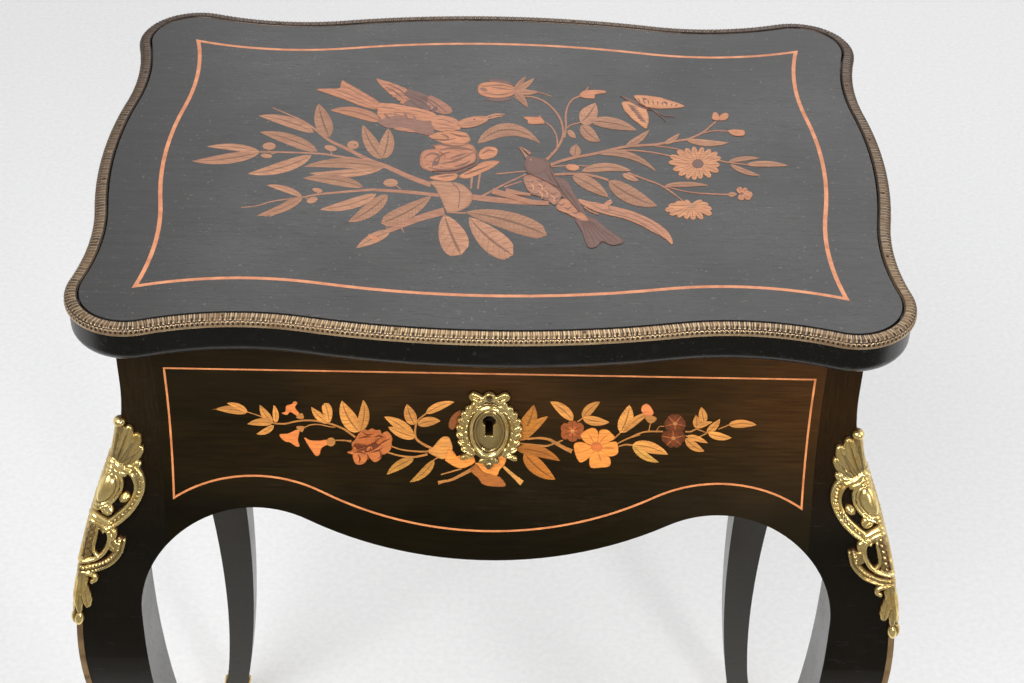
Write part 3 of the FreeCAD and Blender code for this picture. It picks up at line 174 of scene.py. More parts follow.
class Nodes:
    """A node tree whose nodes are added one after another."""

    def __init__(self, tree):
        self.tree = tree

    def join(self, socket, value):
        """Set a socket to a value, or link another node's output to it."""
        if isinstance(value, bpy.types.NodeSocket):
            self.tree.links.new(value, socket)
        else:
            socket.default_value = value

    def node(self, kind, settings=None, **inputs):
        """Add a node. An input is named by its socket, with underscores for spaces, or no and its number."""
        made = self.tree.nodes.new("ShaderNode" + kind)
        for key, value in (settings or {}).items():
            setattr(made, key, value)
        for key, value in inputs.items():
            name = key.replace("_", " ")
            self.join(made.inputs[int(name[2:]) if name.startswith("no") else name], value)
        return made

    def math(self, operation, first, second=0.0):
        """One sum of two numbers or sockets."""
        return self.node("Math", {"operation": operation}, no0=first, no1=second).outputs[0]

    def plus(self, first, second):
        """The sum of two numbers or sockets."""
        return self.math("ADD", first, second)

    def times(self, first, second):
        """The product of two numbers or sockets."""
        return self.math("MULTIPLY", first, second)

    def larger(self, first, second):
        """The larger of two numbers or sockets."""
        return self.math("MAXIMUM", first, second)

    def size(self, value):
        """A number without its sign."""
        return self.math("ABSOLUTE", value)

    def span(self, value, low, high, first=0.0, last=1.0):
        """A value carried from one range into another, and held inside it."""
        made = self.node("MapRange", Value=value, From_Min=low, From_Max=high, To_Min=first, To_Max=last)
        return made.outputs[0]

    def mix(self, factor, first, second, blend="MIX"):
        """A colour between two others. Inputs 6 and 7 of the node are its colours."""
        settings = {"data_type": "RGBA", "blend_type": blend}
        colours = [(*value, 1) if isinstance(value, tuple) else value for value in (first, second)]
        return self.node("Mix", settings, no0=factor, no6=colours[0], no7=colours[1]).outputs[2]

    def stain(self, first, second):
        """One colour multiplied by another."""
        return self.mix(1.0, first, second, "MULTIPLY")

    def grade(self, level, red, blue):
        """A level as a colour, whose red and blue are powers of it."""
        powers = [self.math("POWER", level, power) for power in (red, blue)]
        return self.node("CombineColor", Red=powers[0], Green=level, Blue=powers[1]).outputs[0]

    def axes(self, kind="Object"):
        """Coordinates of one kind as three sockets."""
        return self.node("SeparateXYZ", Vector=self.node("TexCoord").outputs[kind]).outputs

    def noise(self, scale, stretch=(1, 1, 1), detail=4.0, turn=0.0):
        """A number between 0 and 1 that wanders over the object, stretched and turned about the upright."""
        source = self.node("TexCoord").outputs["Object"]
        vector = self.node("Mapping", Vector=source, Scale=stretch, Rotation=(0, 0, turn)).outputs[0]
        return self.node("TexNoise", Vector=vector, Scale=scale, Detail=detail).outputs[0]


class Finish(Nodes):
    """A material with one shader."""

    def __init__(self, name, colour, roughness, metallic=0.0, specular=0.5):
        self.material = bpy.data.materials.new(name)
        self.material.use_nodes = True
        super().__init__(self.material.node_tree)
        self.shader = self.tree.nodes["Principled BSDF"]
        self.give("Base Color", (*colour, 1))
        self.give("Roughness", roughness)
        self.give("Metallic", metallic)
        self.give("Specular IOR Level", specular)

    def give(self, socket, value):
        """Set or link one socket of the shader."""
        self.join(self.shader.inputs[socket], value)

    def colour(self):
        """The socket that feeds the shader's colour so far."""
        return self.shader.inputs["Base Color"].links[0].from_socket

    def bump(self, height, depth, strength):
        """Relief under the light. Depth is in millimetres."""
        made = self.node("Bump", Height=height, Strength=strength, Distance=depth * MM)
        self.give("Normal", made.outputs[0])


def ebony(name, dark, light, stretch, roughness, specular, tint=None, scale=40.0):
    """Blackened wood: two close browns in drawn-out grain, with small open pores under old polish. The
    polish is a little rougher here and there, with fine scratches."""
    finish = Finish(name, dark, roughness, 0.0, specular)
    grain = finish.noise(scale, stretch, detail=6.0)
    pores = finish.span(finish.noise(scale * 6, stretch, detail=2.0), 0.36, 0.3)
    shade = finish.mix(finish.span(grain, 0.35, 0.7), dark, light)
    finish.give("Base Color", finish.mix(pores, shade, tuple(value * 0.45 for value in dark)))
    if tint:
        finish.give("Specular Tint", (*tint, 1))
    scratch = finish.noise(60.0, stretch=(1, 14, 3), detail=2.0, turn=0.6)
    fine = finish.span(scratch, 0.62, 0.7, 0.0, 0.12)
    even = finish.span(finish.noise(14.0, detail=3.0), 0.3, 0.7, roughness - 0.05, roughness + 0.07)
    finish.give("Roughness", finish.plus(even, fine))
    finish.bump(finish.math("SUBTRACT", grain, pores), 0.05, 0.35)
    return finish


def bare_wood(name, dark, light, stretch, roughness=0.5, scale=16.0):
    """Plain wood: long wandering bands of two tones with fine fibres over them."""
    finish = Finish(name, light, roughness, 0.0, 0.35)
    bands = finish.noise(scale, stretch, detail=5.0)
    fibres = finish.noise(scale * 9, stretch, detail=3.0)
    sums = finish.plus(finish.times(bands, 0.7), finish.times(fibres, 0.3))
    finish.give("Base Color", finish.mix(finish.span(sums, 0.38, 0.62), dark, light))
    finish.bump(fibres, 0.06, 0.4)
    return finish


def metal(name, bright, dull, roughness, grime_and_shade=None, metallic=0.7, darker_behind=False):
    """Old metal: bright and dull patches. A grime colour, where given, is grime and painted shade in the
    hollows, as deep as the tint's value says. It can also be made darker away from the middle of the keyhole
    side."""
    finish = Finish(name, bright, roughness, metallic)
    patches = finish.noise(90.0, detail=5.0)
    colour = finish.mix(finish.span(patches, 0.4, 0.68), bright, dull)
    # Grime and painted shade: the hollows are darkened and made less metallic.
    if grime_and_shade:
        depth = finish.node("Attribute", {"attribute_name": "tint"}).outputs["Fac"]
        clear_of_grime_and_shade = finish.plus(depth, finish.span(patches, 0.3, 0.7, -0.12, 0.12))
        colour = finish.mix(finish.span(clear_of_grime_and_shade, 0.64, 0.20), colour, grime_and_shade)
        finish.give("Metallic", finish.span(clear_of_grime_and_shade, 0.12, 0.42, 0.35, metallic))
    # Darker away from the middle of the keyhole side, towards the back and the ends.
    if darker_behind:
        x, y, z = finish.axes()
        ends = finish.span(finish.size(x), 0.05, 0.2, 1.0, 0.68)
        back_and_ends = finish.times(finish.span(y, -0.17, 0.17, 0.85, 0.28), ends)
        colour = finish.stain(colour, finish.grade(back_and_ends, 1.0, 0.8))
    finish.give("Base Color", colour)
    finish.give("Roughness", finish.span(patches, 0.3, 0.7, roughness - 0.08, roughness + 0.14))
    finish.bump(finish.noise(300.0, detail=4.0), 0.22, 0.7)
    return finish.material


ALONG_X = (1, 22, 22)
ALONG_Y = (22, 1, 22)
ALONG_Z = (22, 22, 1)


def reddish(finish, stretch):
    """The colour of the plain reddish wood inside."""
    plain = finish.noise(24.0, stretch, detail=6.0)
    return finish.mix(finish.span(plain, 0.36, 0.64), (0.10, 0.035, 0.014), (0.22, 0.085, 0.035))


def further_in(finish, inset):
    """1 where a point lies further in than inset from the case's upper faces, and 0 elsewhere."""
    x, y, z = finish.axes()
    deep_x = finish.math("LESS_THAN", finish.size(x), (HALF_LENGTH - inset) * MM)
    deep_y = finish.math("LESS_THAN", finish.size(y), (HALF_DEPTH - inset) * MM)
    return finish.times(deep_x, deep_y)


def lined(finish, stretch):
    """Plain reddish wood on the faces inside the case, over a finish for the outside."""
    inside = further_in(finish, WALL - 0.6)
    finish.give("Base Color", finish.mix(inside, finish.colour(), reddish(finish, stretch)))
    return finish.material


def wall_wood(name, stretch):
    """The walls: black worn to brown in soft clouds, warmer towards the top and the right."""
    dark, light = (0.0120, 0.0068, 0.0020), (0.0230, 0.0130, 0.0036)
    finish = ebony(name, dark, light, stretch, 0.34, 0.30, (1.15, 0.82, 0.52))
    x, y, z = finish.axes()
    cloud = finish.plus(finish.noise(7.0, (1, 1, 2.2), detail=3.0), finish.times(x, 1.1))
    level = finish.span(z, 0.59, 0.68, 0.3, 1.08)
    glow = finish.times(finish.span(cloud, 0.34, 0.78, 0.75, 2.3), level)
    finish.give("Base Color", finish.stain(finish.colour(), finish.grade(glow, 1.45, 0.8)))
    return lined(finish, stretch)


def leg_wood():
    """The legs: as brown as the walls at the posts, and near black with a clear polish further down."""
    dark, light = (0.0036, 0.0030, 0.0018), (0.0062, 0.0048, 0.0026)
    finish = ebony("ebonised_leg", dark, light, ALONG_Z, 0.20, 0.42, (1.0, 0.95, 0.86))
    lined(finish, ALONG_Z)
    x, y, z = finish.axes()
    side = finish.mix(finish.span(x, -0.2, 0.2), (3.5, 2.4, 1.15), (4.3, 2.4, 0.95))
    colour = finish.colour()
    finish.give("Base Color", finish.mix(finish.span(z, 0.575, 0.665), colour, finish.stain(colour, side)))
    return finish.material


def lid_wood():
    """The lid: a greyed black top with specks and streaks, a blacker edge and a lined underside."""
    dark, light = (0.022, 0.0205, 0.0200), (0.032, 0.0298, 0.029)
    finish = ebony("ebonised_lid", dark, light, ALONG_X, 0.27, 0.5, None, 26.0)
    x, y, z = finish.axes()
    under = finish.math("LESS_THAN", z, (CASE_TOP + 0.3) * MM)
    top = finish.span(z, (LID_TOP - 6.0) * MM, (LID_TOP - 4.5) * MM)
    slab = finish.mix(top, (0.0040, 0.0038, 0.0026), finish.colour())
    specks = finish.span(finish.noise(420.0, detail=1.0), 0.70, 0.76, 0.0, 0.5)
    streaks = finish.span(finish.noise(90.0, (1, 9, 9), detail=2.0), 0.68, 0.78, 0.0, 0.35)
    marks = finish.times(finish.larger(specks, streaks), finish.larger(top, 0.25))
    worn = finish.mix(marks, slab, (0.16, 0.15, 0.14))
    within = finish.times(further_in(finish, 4.0), under)
    finish.give("Base Color", finish.mix(within, worn, reddish(finish, ALONG_X)))
    return finish.material


def looking_glass():
    """Silvered glass with faint foxing."""
    silver = (0.82, 0.85, 0.84)
    finish = Finish("looking_glass", silver, 0.03, 1.0)
    spots = finish.span(finish.noise(70.0, detail=6.0), 0.66, 0.74)
    finish.give("Base Color", finish.mix(spots, silver, (0.42, 0.38, 0.30)))
    finish.give("Roughness", finish.span(spots, 0, 1, 0.03, 0.3))
    return finish.material


LINING_TONES = ((0.23, 0.085, 0.034), (0.36, 0.15, 0.062))
WEAVE = 6000.0


def paper_lining():
    """The tray's floor: wood at its edges, and faded dark red paper with a fine weave above."""
    finish = bare_wood("tray_floor_wood", *LINING_TONES, ALONG_X)
    x, y, z = finish.axes()
    weave = finish.times(*(finish.math("SINE", finish.times(place, WEAVE)) for place in (x, y)))
    fade = finish.noise(9.0, detail=4.0)
    cloth = finish.mix(finish.span(fade, 0.3, 0.7), (0.15, 0.012, 0.016), (0.24, 0.03, 0.03))
    cloth = finish.mix(finish.span(weave, -0.5, 1, 0, 0.25), cloth, (0.07, 0.006, 0.008))
    above = finish.math("GREATER_THAN", z, (TRAY_FLOOR_TOP - NEAR) * MM)
    finish.give("Base Color", finish.mix(above, finish.colour(), cloth))
    finish.give("Roughness", 0.7)
    return finish.material


# Each metal's fourth colour is grime and painted shade for its hollows; the stamped brass is also darker
# behind.
GILT = metal("gilt_mount_metal", (1.0, 0.78, 0.33), (0.66, 0.43, 0.13), 0.18, (0.085, 0.034, 0.008), 0.80)
STAMPED = metal("stamped_brass_metal", (0.90, 0.64, 0.34), (0.54, 0.35, 0.18), 0.26,
                (0.060, 0.034, 0.018), 0.65, True)


def dress(material, *names):
    """Give a material to CAD nodes, each named in full or by the start of its name."""
    for name in names:
        for key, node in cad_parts.items():
            if key == name or (name.endswith("_") and key.startswith(name)):
                node.data.materials.clear()
                node.data.materials.append(material)


def dress_nodes():
    """Give every CAD node its material."""
    fine = (9, 9, 9)
    dress(wall_wood("ebonised_wall_long", ALONG_X), "front_panel", "back_panel")
    dress(wall_wood("ebonised_wall_short", ALONG_Y), "left_panel", "right_panel")
    dress(leg_wood(), "front_left_leg", "front_right_leg", "back_left_leg", "back_right_leg")
    dress(lid_wood(), "lid_panel")
    line = bare_wood("lid_line_wood", (0.50, 0.18, 0.085), (0.72, 0.30, 0.145), fine, 0.4, 12.0)
    dress(line.material, "lid_inlay_line")
    line = bare_wood("wall_line_wood", (0.50, 0.165, 0.055), (0.72, 0.265, 0.088), fine, 0.4, 12.0)
    dress(line.material, "front_inlay_line", "left_inlay_line", "right_inlay_line")
    dress(GILT, "knee_mount_", "sabot_", "escutcheon")
    dress(STAMPED, "lid_moulding_")
    dress(metal("edge_strip_metal", (0.40, 0.26, 0.12), (0.22, 0.13, 0.06), 0.42), "leg_strip_")
    dress(metal("old_pin_metal", (0.24, 0.17, 0.09), (0.12, 0.08, 0.05), 0.4),
          "strip_nails", "moulding_pins", "escutcheon_pins")
    dress(metal("plain_brass_metal", (0.70, 0.52, 0.24), (0.50, 0.35, 0.15), 0.33), "hinge_case_leaf_",
          "hinge_lid_leaf_", "hinge_pins", "lock_link_plate", "case_screws", "lid_screws")
    dress(metal("lock_steel_metal", (0.36, 0.35, 0.33), (0.20, 0.18, 0.16), 0.38),
          "lock_case", "lock_pin", "lock_bolt")
    wood = bare_wood("carcass_wood_plain", (0.24, 0.14, 0.07), (0.42, 0.27, 0.14), ALONG_X, 0.62)
    dress(wood.material, "case_floor", "glue_blocks")
    wood = bare_wood("lining_wood_plain", *LINING_TONES, ALONG_X)
    dress(wood.material, "tray_runners", "tray_wall_", "tray_divider_", "tray_cross_pieces")
    dress(paper_lining(), "tray_floor")
    wood = bare_wood("mirror_frame_wood", (0.13, 0.045, 0.018), (0.26, 0.10, 0.04), ALONG_X, 0.36)
    dress(wood.material, "mirror_frame_")
    dress(looking_glass(), "mirror_glass")


dress_nodes()


# Marquetry. Its shapes are measured in enlarged views of the photograph. Each view is the pixel at
# its upper left corner and its scale.

VIEWS = {
    "a": (190, 75, 8.711),
    "b": (340, 70, 8.711),
    "c": (360, 150, 7.84),
    "d": (500, 70, 8.711),
    "e": (500, 160, 7.84),
    "f": (620, 85, 8.711),
    "g": (205, 395, 11.2),
    "h": (335, 395, 10.814),
    "i": (440, 390, 13.067),
    "j": (520, 395, 13.067),
    "k": (620, 395, 10.453),
}
VENEER_LIFT = 0.04
VENEER_STEP = 0.0015
VENEER_THICKNESS = 0.5
PROFILES = {"leaf": (0.62, 0.9), "petal": (0.75, 0.42), "drop": (1.0, 0.55)}


def smooth_line(points, steps, closed=False):
    """Points along a smooth line through the given ones: each span is a cubic from its neighbours."""
    points = np.asarray(points, float)
    if closed:
        rail = np.vstack([points[-1:], points, points[:2]])
    else:
        rail = np.vstack([2 * points[:1] - points[1:2], points, 2 * points[-1:] - points[-2:-1]])
    t = (np.arange(steps) / steps)[None, :, None]
    before, start, end, after = (part[:, None] for part in (rail[:-3], rail[1:-2], rail[2:-1], rail[3:]))
    line = start + 0.5 * t * (end - before + t * (
        2 * before - 5 * start + 4 * end - after + t * (3 * (start - end) + after - before)))
    line = line.reshape(-1, points.shape[1])
    return line if closed else np.vstack([line, points[-1:]])


def leaf_width(t, profile):
    """How wide a leaf is from base to tip, 1 at its widest: t^a (1-t)^b over that curve's own top."""
    rise, fall = PROFILES[profile]
    crest = (rise / (rise + fall)) ** rise * (fall / (rise + fall)) ** fall
    return t**rise * (1 - t) ** fall / crest


def ribbon(line, width, across, run):
    """A grid of pixels beside a line, as far out as width times across, and its chart of run and across."""
    tangent = np.gradient(line, axis=0)
    normal = np.stack([-tangent[:, 1], tangent[:, 0]], axis=-1)
    normal /= np.linalg.norm(normal, axis=-1, keepdims=True)
    grid = line[:, None] + normal[:, None] * (width[:, None] * across)[..., None]
    return grid, np.stack(np.broadcast_arrays(run[:, None], across[None, :]), axis=-1)


def blade(base, tip, half, bend=0.0, profile="leaf"):
    """A leaf: along a bowed line from base to tip, as wide as its profile says."""
    base, tip = np.asarray(base, float), np.asarray(tip, float)
    t = np.linspace(0, 1, 13)
    along = tip - base
    side = np.array([-along[1], along[0]])
    middle = base + along * t[:, None] + side * (bend * 4 * t * (1 - t))[:, None]
    width = half * (0.03 + 0.97 * leaf_width(t, profile))
    return ribbon(middle, width, np.linspace(-1, 1, 5), t * np.linalg.norm(along) / half)


def stem(points, first, last, middle=None):
    """A stem: a smooth line whose half width changes evenly, or by way of a middle one."""
    line = smooth_line(points, 6)
    t = np.linspace(0, 1, len(line))
    halves = [first, (first + last) / 2 if middle is None else middle, last]
    return ribbon(line, np.interp(t, [0, 0.5, 1], halves), np.array([-1.0, 0.0, 1.0]), t * 6)


def blot(points, ragged=0.0):
    """An odd shape: a smooth closed outline, filled with rings that shrink to its middle."""
    outline = smooth_line(points, 4, closed=True)
    middle = outline.mean(axis=0)
    count = np.arange(len(outline))[:, None]
    waver = np.sin(2.1 * count) * (0.6 + 0.4 * np.sin(0.73 * count))
    outline = middle + (outline - middle) * (1 + ragged * waver)
    share = np.linspace(1, 0.004, 4)[:, None, None]
    grid = middle + (np.vstack([outline, outline[:1]]) - middle) * share
    chart = np.stack(np.broadcast_arrays(share[..., 0], np.linspace(0, 1, grid.shape[1])[None]), axis=-1)
    return grid, chart


def oval(x, y, wide, tall, turn=0.0):
    """An oval, turned by turn radians."""
    angle = np.linspace(0, 2 * np.pi, 10, endpoint=False)
    points = np.column_stack([wide * np.cos(angle), tall * np.sin(angle)])
    spin = np.array([[np.cos(turn), np.sin(turn)], [-np.sin(turn), np.cos(turn)]])
    return blot(points @ spin + (x, y))


class Inlay:
    """Veneers of one panel, gathered into one piece. Later ones lie a hair above earlier ones. Shapes are
    given in pixels of its current view."""

    def __init__(self, project, lift):
        self.project = project
        self.lift = lift
        self.view = None
        self.points, self.faces, self.tints, self.charts = [], [], [], []
        self.count = 0
        self.level = VENEER_LIFT

    def add(self, shape, tint, veined=0.0):
        """One veneer, cut as a grid and laid on the panel."""
        grid, chart = shape
        rows, columns = grid.shape[:2]
        x, y, scale = VIEWS[self.view]
        flat = self.project(np.array([x, y]) + grid / scale).reshape(-1, 2)
        self.level += VENEER_STEP
        points = self.lift(flat, self.level)
        faces = grid_faces(rows, columns)
        a, b, c = (points[faces[:, key]] for key in (0, 1, 2))
        facing = np.cross(b - a, c - a).sum(axis=0) @ self.lift(np.zeros((1, 2)), 1e3)[0]
        if facing < 0:
            faces = faces[:, ::-1]
        self.points.append(points)
        self.faces.append(faces + self.count)
        self.tints.append(np.tile([*tint, veined], (rows * columns, 1)))
        self.charts.append(chart.reshape(-1, 2))
        self.count += rows * columns

    def leaves(self, tint, rows, profile="leaf", veined=1.0):
        """Leaves: base, tip, half width, and sometimes a bend. Their tints differ a little."""
        for number, (x, y, tip_x, tip_y, half, *bend) in enumerate(rows):
            shade = 1.0 + 0.16 * np.sin(2.3 * number + x * 0.01)
            shape = blade((x, y), (tip_x, tip_y), half, *bend, profile=profile)
            self.add(shape, np.asarray(tint) * shade, veined)

    def stems(self, tint, rows):
        """Stems: half width at each end, then the points they pass."""
        for first, last, points in rows:
            self.add(stem(points, first, last), tint)

    def blots(self, tint, rows, ragged=0.0, rimmed=0.5):
        """Odd shapes, each as its outline. Rimmed 0 leaves out the inked edge."""
        for points in rows:
            self.add(blot(points, ragged), tint, rimmed)

    def strokes(self, tint, half, rows):
        """Engraved or shaded lines, thick in the middle and fine at both ends."""
        for points in rows:
            self.add(stem(points, half * 0.35, half * 0.25, half), tint)

    def berries(self, tint, rows):
        """Ovals: middle, half widths and turn."""
        for row in rows:
            self.add(oval(*row), tint, 0.5)

    def daisy(self, middle, tips, half, tint, heart, wide, tall):
        """Petals from a middle to each tip, and a darker heart over them."""
        for tip in tips:
            self.add(blade(middle, tip, half, profile="petal"), tint, 1.0)
        self.berries(heart, [(*middle, wide, tall)])

    def make(self, name, body, material):
        """The finished piece."""
        tints, charts = np.vstack(self.tints), np.vstack(self.charts)
        piece = place_mesh(name, np.vstack(self.points), np.vstack(self.faces).tolist(), body, material,
                           tints, charts, smooth=False)
        thicken(piece, VENEER_THICKNESS)


def lay_on_lid(flat, level):
    """Points on the lid's top, raised by level."""
    return np.column_stack([flat, np.full(len(flat), LID_TOP + level)])


def lay_on_front(flat, level):
    """Points on the swelling front, raised by level."""
    return np.column_stack([flat[:, 0], -HALF_DEPTH - swell(flat[:, 1]) - level, flat[:, 1]])


def veneer_wood(name, specular, faded):
    """Stained veneer: each piece's tint with fine grain, a dark scorched edge and engraved veins. The
    tint's alpha says whether a piece has veins (above 0.75), an inked edge (about 0.5) or neither."""
    finish = Finish(name, (0.5, 0.3, 0.15), 0.36, 0.0, specular)
    attribute = finish.node("Attribute", {"attribute_name": "tint"}).outputs
    run, across, _ = finish.axes("UV")
    grain = finish.noise(160.0, (1, 6, 6), detail=4.0, turn=0.5)
    stain = finish.stain(attribute["Color"], faded)
    colour = finish.mix(finish.span(grain, 0.36, 0.66, 0.0, 0.42), stain, (0.13, 0.055, 0.03))
    kind = attribute["Alpha"]
    away = finish.size(across)
    rib = finish.span(away, 0.16, 0.05)
    slope = finish.math("SUBTRACT", finish.times(run, 1.9), finish.times(away, 1.1))
    ripple = finish.size(finish.math("SUBTRACT", finish.math("FRACT", slope), 0.5))
    side = finish.times(finish.span(ripple, 0.1, 0.03), 0.6)
    scorch = finish.times(finish.span(across, 0.1, 1.1), 0.35)
    lines = finish.larger(finish.larger(rib, side), scorch)
    leafy = finish.times(lines, finish.math("GREATER_THAN", kind, 0.75))
    cut = finish.times(finish.math("GREATER_THAN", kind, 0.25), finish.math("LESS_THAN", kind, 0.75))
    rim = finish.times(finish.span(run, 0.88, 1.0, 0.0, 0.6), cut)
    ink = finish.times(finish.larger(leafy, rim), 0.62)
    finish.give("Base Color", finish.mix(ink, colour, (0.045, 0.018, 0.008)))
    finish.give("Roughness", finish.span(grain, 0.3, 0.7, 0.28, 0.42))
    finish.bump(grain, 0.03, 0.3)
    return finish.material


TAN = (0.57, 0.235, 0.095)
PINK = (0.72, 0.250, 0.088)
PETAL = (0.80, 0.305, 0.105)
BRANCH = (0.50, 0.19, 0.08)
MAUVE = (0.195, 0.090, 0.054)
GOLD = (0.72, 0.30, 0.066)
ORANGE = (0.92, 0.31, 0.055)
RUST = (0.56, 0.165, 0.042)
DARK_RED = (0.15, 0.034, 0.010)
INK = (0.11, 0.045, 0.024)


def lid_sprays():
    """The bouquet on the lid: sprays of leaves, a rose, buds, daisies, two birds and a butterfly."""
    lid = Inlay(on_lid, lay_on_lid)
    lid.view = "a"
    lid.stems(BRANCH, [
        (3, 22, [(720, 285), (850, 340), (1000, 410), (1110, 490), (1215, 570), (1360, 640), (1568, 745),
                 (1707, 796), (1907, 886), (2097, 956)]),
        (6, 9, [(610, 670), (800, 672), (1130, 685), (1300, 710), (1537, 746), (1637, 781)]),
        (6, 15, [(985, 1065), (1110, 1040), (1300, 1022), (1568, 1000), (1648, 1003), (1903, 1020),
                 (2170, 1048)]),
        (3, 7, [(445, 1155), (580, 1140), (720, 1100), (900, 1075), (985, 1065)]),
        (4, 4, [(690, 648), (690, 672)]), (4, 4, [(700, 690), (760, 674)]),
        (5, 5, [(1225, 660), (1240, 700)]), (5, 5, [(1420, 640), (1400, 662)]),
        (5, 5, [(1110, 1020), (1130, 1040)]), (5, 5, [(1060, 1100), (1010, 1070)]),
    ])
    lid.leaves(TAN, [
        (610, 672, 25, 752, 45, -0.03), (610, 670, 150, 625, 30, 0.04), (1080, 500, 600, 355, 45, 0.05),
        (1110, 665, 612, 497, 50, 0.04), (1060, 700, 505, 860, 50, -0.05),
        (1215, 540, 1120, 252, 75, -0.04), (1657, 386, 1258, 315, 45, 0.05),
        (1687, 806, 1040, 855, 35, -0.04), (1687, 806, 995, 797, 45, 0.05), (1507, 976, 985, 900, 45, 0.05),
        (975, 1058, 670, 960, 27, 0.05), (985, 1065, 690, 1238, 32, 0.04),
        (985, 1065, 585, 1225, 35, -0.05), (1625, 1037, 1135, 1170, 45, -0.05),
        (1720, 1042, 1380, 1280, 60, -0.05),
    ])
    lid.berries(TAN, [
        (690, 620, 58, 33, 0.0), (665, 705, 50, 20, 0.1), (1225, 637, 55, 25, 0.2),
        (1420, 610, 52, 38, 0.0), (1110, 1005, 45, 20, 0.2), (1065, 1090, 50, 27, -0.3),
    ])
    lid.berries(MAUVE, [(1440, 612, 9, 9, 0.0)])
    lid.view = "c"
    lid.berries(TAN, [(240, 258, 58, 32, 0.0)])
    # The broad branch below and its leaves
    lid.stems(BRANCH, [
        (4, 4, [(280, 275), (320, 310)]),
        (6, 30, [(0, 755), (30, 740), (160, 660), (330, 590), (480, 530), (660, 480)]),
        (22, 15, [(885, 370), (1100, 395), (1300, 410), (1440, 415), (1480, 420)]),
        (7, 5, [(960, 360), (1130, 270), (1300, 190)]), (5, 4, [(1130, 290), (1270, 245)]),
        (5, 4, [(1080, 187), (1310, 165)]), (5, 5, [(680, 490), (830, 495)]),
        (7, 2, [(440, 548), (425, 510)]), (7, 2, [(220, 640), (205, 600)]),
        (7, 2, [(320, 600), (345, 650)]),
    ])
    lid.leaves(TAN, [
        (555, 365, 165, 575, 60, -0.04), (830, 490, 1465, 668, 75, -0.04), (855, 530, 1200, 822, 95, 0.05),
        (660, 510, 795, 820, 110, 0.03),
    ], "petal")
    lid.leaves(TAN, [(235, 640, -29, 768, 40, 0.03)])
    lid.berries(PINK, [(110, 690, 52, 20, 0.5)])
    lid.blots(TAN, [
        [(550, 245), (700, 250), (800, 270), (870, 330), (885, 380), (840, 450), (740, 490), (680, 485),
         (640, 400), (590, 300)],
    ])
    lid.stems(MAUVE, [(4, 3, [(720, 255), (780, 330), (770, 460)])])
    # The rose and what grows round it
    lid.view = "b"
    lid.leaves(TAN, [
        (370, 770, 200, 480, 60, -0.06), (370, 770, 420, 510, 65, 0.06), (1200, 640, 1741, 637, 58, -0.22),
    ])
    lid.stems(BRANCH, [
        (10, 8, [(1150, 930), (1140, 1035)]), (9, 8, [(1220, 900), (1200, 1035)]),
        (4, 4, [(1360, 905), (1634, 880)]),
    ])
    lid.blots(PINK, [
        [(770, 575), (850, 620), (950, 650), (1120, 630), (1130, 590), (1100, 550), (1000, 530),
         (870, 540)],
        [(790, 930), (900, 910), (1020, 905), (1010, 950), (930, 970), (800, 950)],
        [(1040, 920), (1150, 860), (1250, 800), (1390, 795), (1330, 850), (1250, 890), (1120, 945),
         (1050, 940)],
        [(1210, 720), (1270, 670), (1350, 675), (1375, 710), (1340, 760), (1230, 780)],
    ])
    lid.blots((0.62, 0.215, 0.082), [
        [(695, 780), (720, 710), (800, 690), (860, 690), (810, 655), (1000, 640), (1130, 645), (1180, 690),
         (1180, 760), (1130, 840), (1000, 880), (880, 900), (780, 880), (710, 850)],
        [(860, 720), (960, 690), (1060, 720), (1000, 770), (900, 780)],
        [(870, 850), (960, 800), (1060, 750), (1170, 720), (1180, 790), (1120, 830), (980, 860)],
        [(710, 760), (760, 720), (840, 730), (800, 790), (730, 840)],
    ])
    lid.strokes((0.25, 0.095, 0.042), 11, [
        [(790, 665), (890, 650), (1000, 668), (1110, 652)],
        [(850, 700), (980, 682), (1110, 690), (1175, 715)],
        [(728, 770), (790, 728), (860, 745), (850, 800), (790, 800)],
        [(800, 850), (830, 780), (900, 735), (960, 715)],
        [(880, 815), (980, 800), (1070, 765), (1160, 722)],
        [(770, 850), (880, 872), (1030, 868), (1170, 800)], [(900, 905), (1000, 893), (1120, 870)],
        [(1188, 700), (1205, 770), (1190, 840)], [(960, 770), (1040, 745), (1100, 725)],
        [(1000, 842), (1080, 822), (1140, 790)],
    ])
    lid.strokes((0.25, 0.095, 0.042), 8, [
        [(800, 600), (900, 612), (1010, 598)], [(960, 548), (1040, 575), (1110, 580)],
        [(880, 560), (940, 585), (930, 615)], [(1235, 735), (1290, 700), (1350, 705)],
        [(1080, 915), (1180, 880), (1300, 835)], [(860, 935), (930, 925), (1000, 920)],
    ])
    lid.blots(MAUVE, [[(800, 885), (1000, 880), (1180, 815), (1180, 832), (1010, 897), (880, 905)]])
    lid.berries(MAUVE, [(835, 815, 30, 20, -0.4)])
    lid.blots(MAUVE, [
        [(1290, 85), (1420, 88), (1530, 140), (1450, 130), (1330, 112)],
        [(1260, 260), (1380, 240), (1500, 250), (1400, 275)],
    ])
    lid.blots(PINK, [
        [(1215, 125), (1300, 105), (1420, 115), (1500, 140), (1545, 180), (1480, 230), (1350, 245),
         (1230, 220), (1200, 180)],
    ])
    lid.strokes((0.33, 0.125, 0.052), 7, [
        [(1240, 150), (1340, 135), (1450, 140), (1540, 178)],
        [(1240, 200), (1350, 215), (1450, 210), (1535, 185)], [(1320, 150), (1420, 165), (1530, 180)],
    ])
    lid.berries((0.32, 0.125, 0.060), [(1252, 172, 34, 15, 0.3)])
    bird_in_flight(lid)
    right_sprays(lid)
    perched_bird(lid)
    lid.make("lid_marquetry", "lid", veneer_wood("lid_veneer", 0.3, (0.80, 0.92, 1.25)))


